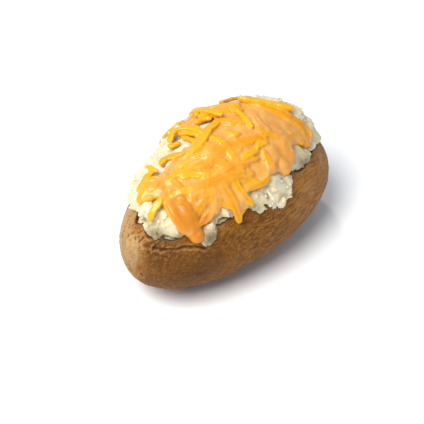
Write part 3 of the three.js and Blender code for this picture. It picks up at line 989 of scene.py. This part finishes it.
def crags(points):
    """Height in mm of the fluffy crags: rounded crumbs with sharp creases between them."""
    moved = points + 1.6 * drift(points, 7, 61)
    strength = np.clip(0.5 + 0.55 * noise(points, 14, 64) - 0.011 * points[:, 0], 0.05, 1.0)
    height = 3.4 * np.abs(noise(moved, 9, 65)) + 2.1 * np.abs(noise(moved, 5.2, 66))
    height += (1.1 * np.abs(noise(moved, 3.1, 67)) + 0.4 * np.abs(noise(moved, 2.0, 68))) * strength
    return (height - 1.8) * (0.5 + 0.5 * strength)


def clear_share(points):
    """How glassy the flesh is at each point, 0 to 1."""
    return np.clip(blobs(points, [(1, *chunk) for chunk in CLEAR_CHUNKS]), 0, 1)


def heap_field(grid):
    """Depth field of the craggy heap, pressed down under the melted sheet."""
    x, y, z = grid.mesh()
    heap = mound_depth(x, y, z).astype(np.float32)
    heap = np.where(z < HEAP_FOOT_Z, np.maximum(heap, HEAP_FOOT_Z - z), heap).astype(np.float32)
    for cuts, depth in lumps_near(grid, 6):
        heap[cuts] = join(heap[cuts], depth, 1.4)
    index, spots = grid.near(heap, 5.5)
    heap[index] -= crags(spots) * (1 - 0.7 * clear_share(spots))
    plan_x, plan_y = plan_point(*spots.T)
    edge = edge_depth(plan_x, plan_y, FLESH_EDGE) + 0.8 * noise(spots, 4, 73)
    heap[index] = common(heap[index], edge, 2.5)
    covered = smooth_step(-edge_depth(plan_x, plan_y, SHEET_EDGE), 0.0, 4.5)
    under = carry_field(grid)[index] + 0.35 * covered - 4 * (1 - covered)
    heap[index] = np.where(covered > 0, np.maximum(heap[index], under), heap[index])
    return heap


def make_flesh():
    hidden = np.arange(0.5, 35.9, HIDDEN_STEP)
    grid = Grid(
        np.arange(-66, 66.01, FLESH_STEP), np.arange(-41, 41.01, FLESH_STEP),
        np.concatenate([hidden, np.arange(36.6, 73.1, FLESH_STEP)]))
    x, y, z = grid.mesh()
    rim = rim_height(rim_bearing(x, y))
    shell = np.maximum(potato_depth(x, y, z), -potato_depth(x, y, z, -JACKET_WALL))
    heap = common(heap_field(grid), 0.1 - np.maximum(shell, z - rim), 0.5)
    filling = np.maximum(potato_depth(x, y, z, -JACKET_WALL - 0.15), z - rim + 0.3)
    filling = np.maximum(filling, JACKET_WALL + 0.4 - z)
    points, faces = skin_of(grid, join(heap, filling.astype(np.float32), 0.8).astype(np.float32))
    points = relax(points, faces, 2)
    visible = points[:, 2] > HEAP_FOOT_Z
    fine = 0.16 * noise(points, 1.1, 71) + 0.1 * noise(points, 0.8, 72)
    points = points + outward(points, faces) * (fine * visible)[:, None]
    bare = smooth_step(edge_depth(*plan_point(*points.T), SHEET_EDGE), 1, 4)
    bare = bare * smooth_step(potato_depth(*points.T), -0.4, 0.4) * visible
    return new_piece("heaped_flesh", points, faces, flesh_finish("fluffy potato flesh", 0.7), {
        "hollow": hollows(points, faces, 9), "clear": clear_share(points), "bare": 0.3 * bare})


# ---- cheese -------------------------------------------------------------------------------------
CHEESE_STEP = 0.48
# width, lift, melt width and tone of each shred and the plan points it passes, lowest first
SHREDS = [
    (4.4, 1.6, 1.6, 0.7, [(-14.5, -6.5), (-12, -9), (-11, -12), (-10, -16)]),
    (4.6, 1.6, 2.0, 0.8, [
        (22.5, 2.6), (23.5, -1.5), (25.5, -5.5), (28, -9), (31.5, -13), (35, -16.5), (37, -20),
        (36.5, -24), (34.5, -27)]),
    (3.6, 1.4, 1.6, 0.6, [(24, -19), (28, -22), (30, -26)]),
    (4.2, 1.6, 1.4, 0.9, [(0, -7.5), (2, -10.5), (5, -12), (8, -13)]),
    (3.5, 1.6, 1.4, 0.6, [(10, -11.5), (12, -14), (15, -17)]),
    (3.2, 1.6, 1.2, 0.3, [(1, -1.5), (1.5, -4.5), (3, -6)]),
    (3.0, 1.8, 1.2, 0.6, [(10.5, -8.5), (9.5, -12), (9.5, -15)]),
    (3.2, 1.8, 1.2, 0.6, [(5, -19), (4.5, -22.5), (2.5, -27)]),
    (3.0, 1.8, 1.2, 0.5, [(15.5, -23), (17.5, -20.5), (21.5, -20), (26, -21), (29, -22.5)]),
    (3.6, 1.1, 2.0, 0.6, [(-35.5, 0), (-37, -4), (-40, -8), (-42, -11), (-44.5, -16), (-47.5, -21.5)]),
    (4.4, 1.8, 1.4, 0.7, [(-17.5, -19.5), (-20, -27), (-22.5, -33.5), (-25, -42)]),
    (3.4, 1.6, 1.2, 0.2, [(-18, -0.5), (-15, -2.5), (-12, -4.5), (-10, -7)]),
    (3.7, 1.6, 1.1, 0.9, [(-15, -1), (-11, -2), (-7.5, -2.5)]),
    (3.5, 1.6, 1.1, 0.3, [(-25, -4.5), (-22, -6), (-20, -9), (-18, -12.5)]),
    (3.0, 1.6, 1.1, 0.3, [(-35, -6.5), (-31.5, -8), (-28.5, -10.5), (-24, -13)]),
    (3.5, 1.6, 1.2, 0.4, [(-12.5, -20.5), (-10, -23.5), (-7.5, -27.5), (-5.5, -30.5)]),
    (3.5, 1.6, 1.1, 0.5, [(-13, -28.5), (-9, -29.5), (-4.5, -31), (0, -30.5)]),
    (3.4, 1.8, 1.1, 0.2, [(-3, 0), (-3.5, -4), (-4.5, -8), (-6.5, -13)]),
    (2.9, 2.0, 0.9, 0.4, [(-9, 10.5), (-8.5, 6), (-8, 1.5)]),
    (2.9, 2.0, 0.9, 0.3, [(-8.5, 13), (-6.5, 9.5), (-5.5, 4.5)]),
    (3.4, 2.2, 1.1, 0.5, [(-0.5, 11), (2, 10.5), (3, 7)]),
    (4.2, 2.0, 1.2, 0.6, [(1.5, 4), (3.5, 2.5), (5.5, -1), (8.5, -4.5)]),
    (3.9, 2.1, 1.1, 0.3, [(5, 7), (8.5, 8), (11.5, 6.5), (12, 3)]),
    (3.7, 4.1, 0.9, 0.1, [(5, 20), (6, 15), (5, 9), (4.5, 3.5)]),
    (3.7, 1.9, 1.1, 0.5, [(-29.5, 0), (-26, -1), (-21, -3), (-17, -6), (-12, -8)]),
    (4.0, 2.2, 1.1, 0.5, [(-24.5, 8), (-21.5, 8), (-19, 6.5), (-15, 2.5)]),
    (4.4, 2.5, 1.1, 0.3, [(-13, 1), (-9, 0.5), (-5, 1.5), (-1.5, 3), (1.5, 2.5)]),
    (4.0, 2.2, 1.0, 0.3, [(3, 14), (7, 11.5), (11, 9), (15, 5)]),
    (3.8, 2.0, 1.1, 0.6, [(-1, 12), (4, 9.5), (9, 6.5), (13, 2)]),
    (3.6, 2.4, 0.9, 0.2, [(4, 17.5), (9, 15), (13, 11), (16, 6)]),
    (3.5, 2.2, 0.8, 0.1, [(-15.5, 12), (-14, 10), (-11.5, 8.5)]),
    (3.9, 3.2, 0.8, 0.2, [(-13.5, 11.5), (-11, 14), (-8, 14), (-5.5, 11.5), (-4, 7.5), (-4.5, 3.5)]),
    (2.9, 2.5, 0.8, 0.1, [(12.5, 6.5), (10.5, 2), (9, -3), (8, -7.5)]),
    (3.5, 2.0, 0.9, 0.1, [(-4, -16), (-1, -16), (3, -17)]),
    (3.4, 1.9, 0.9, 0.2, [(3.5, -16), (6, -15.5), (9, -17)]),
    (3.5, 1.9, 1.1, 0.3, [(-12.5, -18.5), (-13.5, -24), (-14.5, -29.5), (-14, -36.5)]),
    (5.2, 0.9, 2.0, 0.5, [(-42, 3), (-39, 1.5), (-36.5, -1)]),
    (4.0, 1.0, 2.0, 0.3, [(-37, 6), (-33.5, 3.5), (-31, 1)]),
    (3.0, 1.3, 1.8, 0.4, [(-41, 10), (-37, 9), (-33, 9.5), (-29, 8)]),
    (3.6, 1.4, 1.8, 0.5, [(-46, 6), (-43, 6), (-39, 6), (-35.5, 5), (-33, 4)]),
    (3.2, 1.9, 1.1, 0.9, [(-38, 3), (-35, 2.5), (-32, 2.5)]),
    (3.0, 2.5, 0.8, 0.1, [(-28.5, 12.5), (-28.5, 9), (-28, 6)]),
    (3.0, 1.9, 0.9, 0.4, [(-34, 7), (-31.5, 4.5), (-30.5, 2)]),
    (3.8, 2.6, 0.9, 0.1, [(-38, -4), (-42.5, -4), (-47, -4), (-51, -4)]),
]
# the same of the swells of the melted sheet itself
SWELLS = [
    (3.6, 1.3, 1.6, 0.0, [(-21.5, -19.5), (-24.5, -23.5), (-29, -28)]),
    (3.4, 1.1, 1.6, 0.0, [(-36, -21), (-33, -23.5), (-31.5, -27)]),
    (5.0, 1.2, 1.8, 1.0, [(-37.5, -12), (-40, -17), (-43.5, -22)]),
    (3.4, 1.1, 1.6, 0.0, [(-9, -2.5), (-6, -3.5), (-5, -6)]),
    (6.5, 0.8, 2.4, 1.0, [(-31, -5), (-35.5, -11), (-39, -18), (-42, -24)]),
    (3.6, 1.1, 2.6, 0.0, [(14, -3), (12, -7), (13, -12)]),
    (3.6, 1.0, 1.6, 0.0, [(-4, -12), (-8, -16), (-9, -22)]),
    (3.2, 1.1, 1.6, 0.0, [(-27, -12), (-31, -15), (-33, -19)]),
    (5.0, 0.9, 2.2, 0.3, [(-37, 4), (-34, 2), (-31, 0.5)]),
    (6.5, 0.9, 2.4, 0.3, [(-44, 6), (-40, 4), (-36.5, 2)]),
    (4.6, 0.8, 2.2, 0.3, [(-39, 8), (-35.5, 7.5), (-32.5, 6)]),
    (6.5, 1.0, 2.4, 0.5, [(-15.5, -21), (-17.5, -27), (-18.5, -32), (-19, -36.5)]),
]
# the same of the shreds on the far side
BACK_SHREDS = [
    (4.0, 2.6, 1.0, 0.3, [(-4, 20), (-12, 26), (-18, 34)]),
    (3.8, 2.2, 0.9, 0.6, [(2, 24), (-4, 32), (-6, 40)]),
    (4.2, 2.4, 1.0, 0.4, [(12, 30), (22, 32), (30, 30)]),
    (3.8, 2.2, 0.8, 0.3, [(22, 20), (31, 24), (41, 22)]),
    (4.0, 2.2, 0.9, 0.5, [(24, 22), (34, 26), (40, 24)]),
    (4.0, 2.4, 1.0, 0.4, [(4, 33), (12, 38), (18, 34)]),
    (3.8, 2.8, 0.8, 0.2, [(-8, 22), (-19, 22), (-29, 25)]),
    (4.0, 2.4, 0.8, 0.3, [(32, 31), (40, 29), (47, 22)]),
]
# half width and thickness in mm and tone of each run of melted cheese and the plan points it passes
RUNS = [
    (3.7, 3.0, 1.0, [(-40, -18), (-44, -24), (-46, -28), (-46.5, -30.5)]),
    (4.1, 3.2, 0.4, [(17.5, -20), (16.5, -25), (14.5, -29), (12, -31.5)]),
    (2.4, 2.4, 0.6, [(9, -22), (6, -26), (4.5, -28.5)]),
    (4.2, 2.8, 0.6, [(6, 22), (8, 29), (9, 36)]),
]
RUN_LIFT = 0.3
RUN_MELT = 3.4
PATH_STEPS = 14
# reach in mm round a run and round a shred over which its depth is worked out
RUN_REACH = 9
SHRED_REACH = 5.5
# plan reaches in mm over which the sunk shreds lie, and the mean and spread in degrees of their turn
SUNK_X = (-33, -4)
SUNK_Y = (-22, 1)
SUNK_TURN = (-25, 38)
# how much of its own yellow a sunk shred, a swell and a plain shred keeps
SUNK_HOLD = 0.65
SWELL_HOLD = 0.12
SHRED_HOLD = 1.0


def spline(corners, parts):
    """Smooth line through the corners at places counted in corners."""
    corners = np.array(corners, dtype=float)
    padded = np.concatenate([2 * corners[:1] - corners[1:2], corners, 2 * corners[-1:] - corners[-2:-1]])
    first = np.minimum(parts.astype(int), len(corners) - 2)
    t = (parts - first)[:, None]
    a, b, c, d = (padded[first + i] for i in range(4))
    return b + 0.5 * t * (c - a + t * (2 * a - 5 * b + 4 * c - d + t * (3 * (b - c) + d - a)))


def lifted_point(plan_x, plan_y, lift):
    """Point that far over the surface that carries the cheese, and the outward direction there."""
    point, out = surface_frame(plan_x, plan_y)
    for _ in range(5):
        point = point + out * (lift - float(carry_depth(*point)))
    return point, out


def shred_path(corners, lift):
    """Points of a shred draped on the heap through plan points, with the outward direction at each."""
    parts = np.linspace(0, len(corners) - 1, PATH_STEPS + 1)
    points = []
    outs = []
    for x, y in spline(corners, parts):
        point, out = lifted_point(x, y, lift)
        points.append(point)
        outs.append(out)
    return np.array(points), np.array(outs)


def near_path(spots, points, outs):
    """For each spot: its share along the path, and how far it lies aside, up and past the nearer end."""
    best = np.full(len(spots), 1e9, dtype=np.float32)
    aside = np.zeros(len(spots), dtype=np.float32)
    above = np.zeros(len(spots), dtype=np.float32)
    past = np.zeros(len(spots), dtype=np.float32)
    share = np.zeros(len(spots), dtype=np.float32)
    pieces = len(points) - 1
    for i in range(pieces):
        a, b = points[i], points[i + 1]
        line = b - a
        long = np.linalg.norm(line)
        along = (spots - a) @ (line / long)
        held = np.clip(along, 0, long)
        part = held / long
        foot = a + part[:, None] * line
        gap = spots - foot
        distance = (gap ** 2).sum(axis=1)
        nearer = distance < best
        out = outs[i] + part[:, None] * (outs[i + 1] - outs[i])
        tangent = line / long
        out = out - (out @ tangent)[:, None] * tangent
        out /= np.linalg.norm(out, axis=1)[:, None]
        side = np.cross(tangent, out)
        over = along - held
        flat = gap - over[:, None] * tangent
        best = np.where(nearer, distance, best)
        aside = np.where(nearer, (flat * side).sum(axis=1), aside)
        above = np.where(nearer, (flat * out).sum(axis=1), above)
        past = np.where(nearer, np.abs(over), past)
        share = np.where(nearer, (i + part) / pieces, share)
    total = np.linalg.norm(np.diff(points, axis=0), axis=1).sum()
    return share, aside, above, past - np.minimum(share, 1 - share) * total


def strip_depth(spots, points, outs, width, thick, seed):
    """Depth in a shred: a flat rounded section with a shallow groove along its top, and cut ends."""
    share, aside, above, past = near_path(spots, points, outs)
    uneven = 0.95 + 0.1 * np.sin(share * 11 + seed) + 0.05 * np.sin(share * 29 + 2 * seed)
    uneven = uneven * (0.68 + 0.32 * smooth_step(-past, 0, 3.5))
    half_width = width / 2 * uneven
    half_thick = thick / 2 * (1 + 0.12 * np.sin(share * 9 + 3 * seed))
    corner = 0.8 * half_thick
    out_side = np.abs(aside) - (half_width - corner)
    out_up = np.abs(above) - (half_thick - corner)
    round_part = np.hypot(np.clip(out_side, 0, None), np.clip(out_up, 0, None))
    section = round_part + np.minimum(np.maximum(out_side, out_up), 0) - corner
    groove = SHRED_GROOVE * np.exp(-((aside - 0.12 * width * np.sin(seed)) / (0.17 * width)) ** 2)
    section = section + groove * smooth_step(above, 0, half_thick)
    return common(section, past - 0.5, 1.5)


def run_depth(spots, points, outs, half_width, thick):
    """Depth in a run of melted cheese: a flattened drop, fuller towards its round end."""
    share, aside, above, past = near_path(spots, points, outs)
    wide = half_width * (0.86 + 0.2 * share)
    high = thick * (0.75 + 0.35 * share ** 2)
    level = np.sqrt((aside ** 2 + np.clip(past, 0, None) ** 2) / wide ** 2 + (above / high) ** 2)
    return (level - 1) * high * 0.9


def sunk_shreds():
    """Rows of half melted shreds strewn over the front left of the sheet."""
    rows = []
    draws = np.random.default_rng(77)
    for _ in range(SUNK_SHREDS):
        middle = np.array([draws.uniform(*SUNK_X), draws.uniform(*SUNK_Y)])
        turn, length = math.radians(draws.normal(*SUNK_TURN)), draws.uniform(9, 20)
        ahead = length / 2 * np.array([math.cos(turn), math.sin(turn)])
        bow = draws.uniform(-0.2, 0.2) * ahead[::-1]
        width, lift = draws.uniform(2.6, 3.6), draws.uniform(1.0, 1.6)
        melt, tone = draws.uniform(1.2, 1.8), draws.uniform(0.3, 1.0)
        rows.append((width, lift, melt, tone, [middle - ahead, middle + bow, middle + ahead]))
    return rows


class MeltedCheese:
    """The cheese over one grid: its depth, how much of it is shred, and its tone."""

    def __init__(self, grid):
        self.grid = grid
        self.carry = carry_field(grid)
        index, spots = grid.near(self.carry, 6)
        plan_x, plan_y = plan_point(*spots.T)
        ragged = 0.7 * noise(spots, 5, 83) + 0.4 * noise(spots, 2.4, 84)
        edge = np.full(grid.shape, 20, dtype=np.float32)
        edge[index] = edge_depth(plan_x, plan_y, SHEET_EDGE) + ragged
        thick = np.full(grid.shape, SHEET_THICK, dtype=np.float32)
        thick[index] += 0.5 * noise(spots, 9, 81) + 0.2 * noise(spots, 4.2, 82)
        thick += 0.8 * np.exp(-((edge + 1.8) / 1.8) ** 2)
        thick *= 1 - 0.5 * smooth_step(grid.mesh()[1], 12, 20)
        sheet = common(self.carry - thick, edge, 2.6)
        self.field = common(sheet, -(self.carry + SHEET_SUNK), 0.4).astype(np.float32)
        self.shred = np.zeros(grid.shape, dtype=np.float32)
        self.tone = np.full(grid.shape, 0.5, dtype=np.float32)
        # deeper orange towards the front left, partly the sauce's own colour and partly painted shade of
        # its front slope
        self.tone[index] += 0.5 * np.exp(-((plan_x + 38) / 11) ** 2 - ((plan_y + 17) / 15) ** 2)

    def lay(self, path, depth_of, sizes, melt, hold, tone, reach):
        """Melts a strand to the cheese, with its own yellow and tone where it lies on top."""
        points, outs = path
        cuts = self.grid.block(points.min(axis=0) - reach, points.max(axis=0) + reach)
        spots = self.grid.points(cuts)
        depth = depth_of(spots.reshape(-1, 3), points, outs, *sizes).reshape(spots.shape[:3])
        depth = common(depth, -(self.carry[cuts] + SHEET_SUNK), 0.4)
        here = self.field[cuts]
        share = smooth_step(here - depth, -0.45, 0.45)
        self.field[cuts] = join(here, depth, melt)
        self.shred[cuts] += (hold - self.shred[cuts]) * share
        self.tone[cuts] += (tone - self.tone[cuts]) * share


def make_cheese():
    grid = Grid(
        np.arange(-63, 62, CHEESE_STEP), np.arange(-40, 40, CHEESE_STEP), np.arange(38, 77.5, CHEESE_STEP))
    cheese = MeltedCheese(grid)
    for half_width, thick, tone, corners in RUNS:
        path = shred_path(corners, RUN_LIFT)
        cheese.lay(path, run_depth, (half_width, thick), RUN_MELT, 0.0, tone, RUN_REACH)
    rows = [(row, SUNK_HOLD) for row in sunk_shreds()]
    rows += [(row, SWELL_HOLD) for row in SWELLS]
    rows += [(row, SHRED_HOLD) for row in BACK_SHREDS + SHREDS]
    for i, ((width, lift, melt, tone, corners), hold) in enumerate(rows):
        path = shred_path(corners, lift)
        cheese.lay(path, strip_depth, (width, SHRED_THICK, i), melt, hold, tone, SHRED_REACH)
    width, thick, melt, tone, first, last = LONG_SHRED
    path = [np.array(pair) for pair in zip(lifted_point(*first), lifted_point(*last))]
    cheese.lay(path, strip_depth, (width, thick, 5), melt, SHRED_HOLD, tone, SHRED_REACH)
    points, faces = skin_of(grid, cheese.field)
    points = relax(points, faces, 3)
    return new_piece("melted_cheese", points, faces, cheese_finish(), {
        "shred": grid.read(cheese.shred, points), "tone": grid.read(cheese.tone, points),
        "hollow": hollows(points, faces, 8)})


# ---- crumbs -------------------------------------------------------------------------------------
CRUMB_SIZE = 0.75
CRUMB_GAP = 1.5
CRUMB_SEED = 6
MOST_CRUMBS = 400000
FULL_TURN = (6.28, 6.28, 6.28)
CRUMB_STRETCH = ((0.6, 0.5, 0.45), (1.4, 1.1, 0.9))
CRUMB_BUMPS = 1.6
CRUMB_PUSH = 0.7


def crumb_tree(finish):
    """Node tree that strews uneven crumbs over the faces where the value named bare is not zero."""
    tree = bpy.data.node_groups.new("strewn crumbs", "GeometryNodeTree")
    sockets = (
        ("Carrier", "Geometry"), ("Crumb size", "Float"), ("Gap between crumbs", "Float"), ("Seed", "Int"))
    for name, kind in sockets:
        tree.interface.new_socket(name, in_out="INPUT", socket_type="NodeSocket" + kind)
    tree.interface.new_socket("Crumbs", in_out="OUTPUT", socket_type="NodeSocketGeometry")

    def add(kind, result, values=None, **settings):
        return add_node(tree, kind, values, **settings).outputs[result]

    given = add_node(tree, "NodeGroupInput").outputs
    bare = add("GeometryNodeInputNamedAttribute", "Attribute", {"Name": "bare"}, data_type="FLOAT")
    spread = add("GeometryNodeDistributePointsOnFaces", "Points", {
        "Mesh": given["Carrier"], "Distance Min": given["Gap between crumbs"], "Seed": given["Seed"],
        "Density Factor": bare, "Density Max": MOST_CRUMBS}, distribute_method="POISSON")
    grain = add("GeometryNodeMeshIcoSphere", "Mesh", {"Subdivisions": 2, "Radius": given["Crumb size"]})
    turn = add("FunctionNodeRandomValue", "Value", {
        "Max": FULL_TURN, "Seed": given["Seed"]}, data_type="FLOAT_VECTOR")
    stretch = add("FunctionNodeRandomValue", "Value", {
        "Min": CRUMB_STRETCH[0], "Max": CRUMB_STRETCH[1], "Seed": given["Seed"]}, data_type="FLOAT_VECTOR")
    grains = add("GeometryNodeInstanceOnPoints", "Instances", {
        "Points": spread, "Instance": grain, "Rotation": turn, "Scale": stretch})
    real = add("GeometryNodeRealizeInstances", "Geometry", {"Geometry": grains})
    ragged = add("ShaderNodeTexNoise", "Color", {"Scale": 1 / (CRUMB_BUMPS * MM), "Detail": 1})
    middle = add("ShaderNodeVectorMath", "Vector", {0: ragged, 1: (0.5, 0.5, 0.5)}, operation="SUBTRACT")
    push = add("ShaderNodeVectorMath", "Vector", {0: middle, "Scale": CRUMB_PUSH * MM}, operation="SCALE")
    shape = add("GeometryNodeSetPosition", "Geometry", {"Geometry": real, "Offset": push})
    coat = add("GeometryNodeSetMaterial", "Geometry", {"Geometry": shape, "Material": finish})
    add_node(tree, "NodeGroupOutput", {"Crumbs": coat})
    return tree


def make_crumbs(flesh):
    """Loose crumbs of flesh strewn where the flesh is bare."""
    tree = crumb_tree(flesh_finish("potato crumbs", 0.08))
    modifier = flesh.modifiers.new("crumbs", "NODES")
    modifier.node_group = tree
    values = {"Crumb size": CRUMB_SIZE * MM, "Gap between crumbs": CRUMB_GAP * MM, "Seed": CRUMB_SEED}
    for item in tree.interface.items_tree:
        if item.item_type == "SOCKET" and item.name in values:
            modifier[item.identifier] = values[item.name]
    ready = flesh.evaluated_get(bpy.context.evaluated_depsgraph_get())
    mesh = bpy.data.meshes.new_from_object(ready)
    flesh.modifiers.remove(modifier)
    mesh.name = "flesh_crumbs"
    return placed("flesh_crumbs", mesh)


# ---- studio -------------------------------------------------------------------------------------
CAMERA_ELEVATION = 41.1
CAMERA_TURN = -50.46
CAMERA_DISTANCE = 0.7463
CAMERA_TARGET = (0, 0, 0.030)
CAMERA_LENS = 125.2
CAMERA_SHIFT = (-0.0231, -0.0346)
# steps to the right, away from the camera and up in metres, target, width, power and colour
KEY_LIGHT = (-0.38, -0.46, 0.92, (0, 0, 0.03), 0.75, 15.4, (1.0, 0.99, 0.97))
SMALL_LIGHT = (-0.12, 0.42, 0.75, (0, 0, 0.05), 0.06, 1.0, (1.0, 1.0, 1.0))
SKY = {"Color": (0.84, 0.91, 1.0, 1), "Strength": 0.45}
TABLE = {"Base Color": (0.93, 0.93, 0.93, 1), "Roughness": 0.9, "Specular IOR Level": 0.1}
TABLE_HALF = 4.0


def make_camera():
    """Camera over the corner of the potato, and the ways to its right and back to it."""
    elevation, around = math.radians(CAMERA_ELEVATION), math.radians(CAMERA_TURN)
    level = math.cos(elevation)
    back = Vector((math.sin(around) * level, -math.cos(around) * level, math.sin(elevation)))
    right = Vector((math.cos(around), math.sin(around), 0))
    data = bpy.data.cameras.new("camera")
    data.lens = CAMERA_LENS
    data.sensor_width = 36
    data.shift_x, data.shift_y = CAMERA_SHIFT
    camera = bpy.data.objects.new("camera", data)
    bpy.context.scene.collection.objects.link(camera)
    turned = Matrix((right, back.cross(right), back)).transposed().to_4x4()
    turned.translation = Vector(CAMERA_TARGET) + back * CAMERA_DISTANCE
    camera.matrix_world = turned
    bpy.context.scene.camera = camera
    return right, back


def make_light(name, place, target, size, power, colour):
    data = bpy.data.lights.new(name, "AREA")
    data.shape = "DISK"
    data.size = size
    data.energy = power
    data.color = colour
    light = bpy.data.objects.new(name, data)
    bpy.context.scene.collection.objects.link(light)
    light.location = place
    light.rotation_euler = (Vector(target) - place).to_track_quat("-Z", "Y").to_euler()


def make_studio():
    right, back = make_camera()
    away = Vector((-back.x, -back.y, 0)).normalized()
    for name, (aside, far, up, *rest) in (("key light", KEY_LIGHT), ("small light", SMALL_LIGHT)):
        make_light(name, right * aside + away * far + Vector((0, 0, up)), *rest)
    world = bpy.data.worlds.new("studio")
    world.use_nodes = True
    fill(world.node_tree, world.node_tree.nodes["Background"].inputs, SKY)
    scene = bpy.context.scene
    scene.world = world
    scene.view_settings.view_transform = "Standard"
    scene.view_settings.look = "None"
    mesh = bpy.data.meshes.new("floor")
    corners = [(x * TABLE_HALF, y * TABLE_HALF, 0) for x, y in ((-1, -1), (1, -1), (1, 1), (-1, 1))]
    mesh.from_pydata(corners, [], [(0, 1, 2, 3)])
    mesh.materials.append(Finish("white table").done(TABLE))
    floor = bpy.data.objects.new("floor", mesh)
    scene.collection.objects.link(floor)


# ---- build --------------------------------------------------------------------------------------
make_studio()
jacket = make_jacket()
flesh = make_flesh()
cheese = make_cheese()
crumbs = make_crumbs(flesh)
rows = (
    (jacket, "jacket", "skin"), (flesh, "flesh", "flesh"), (crumbs, "flesh", "flesh"),
    (cheese, "cheese", "cheese"))
for piece, node, slot in rows:
    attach(piece, "root")
    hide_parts(node)
    print(piece.name, sum(len(face.vertices) - 2 for face in piece.data.polygons), "triangles")
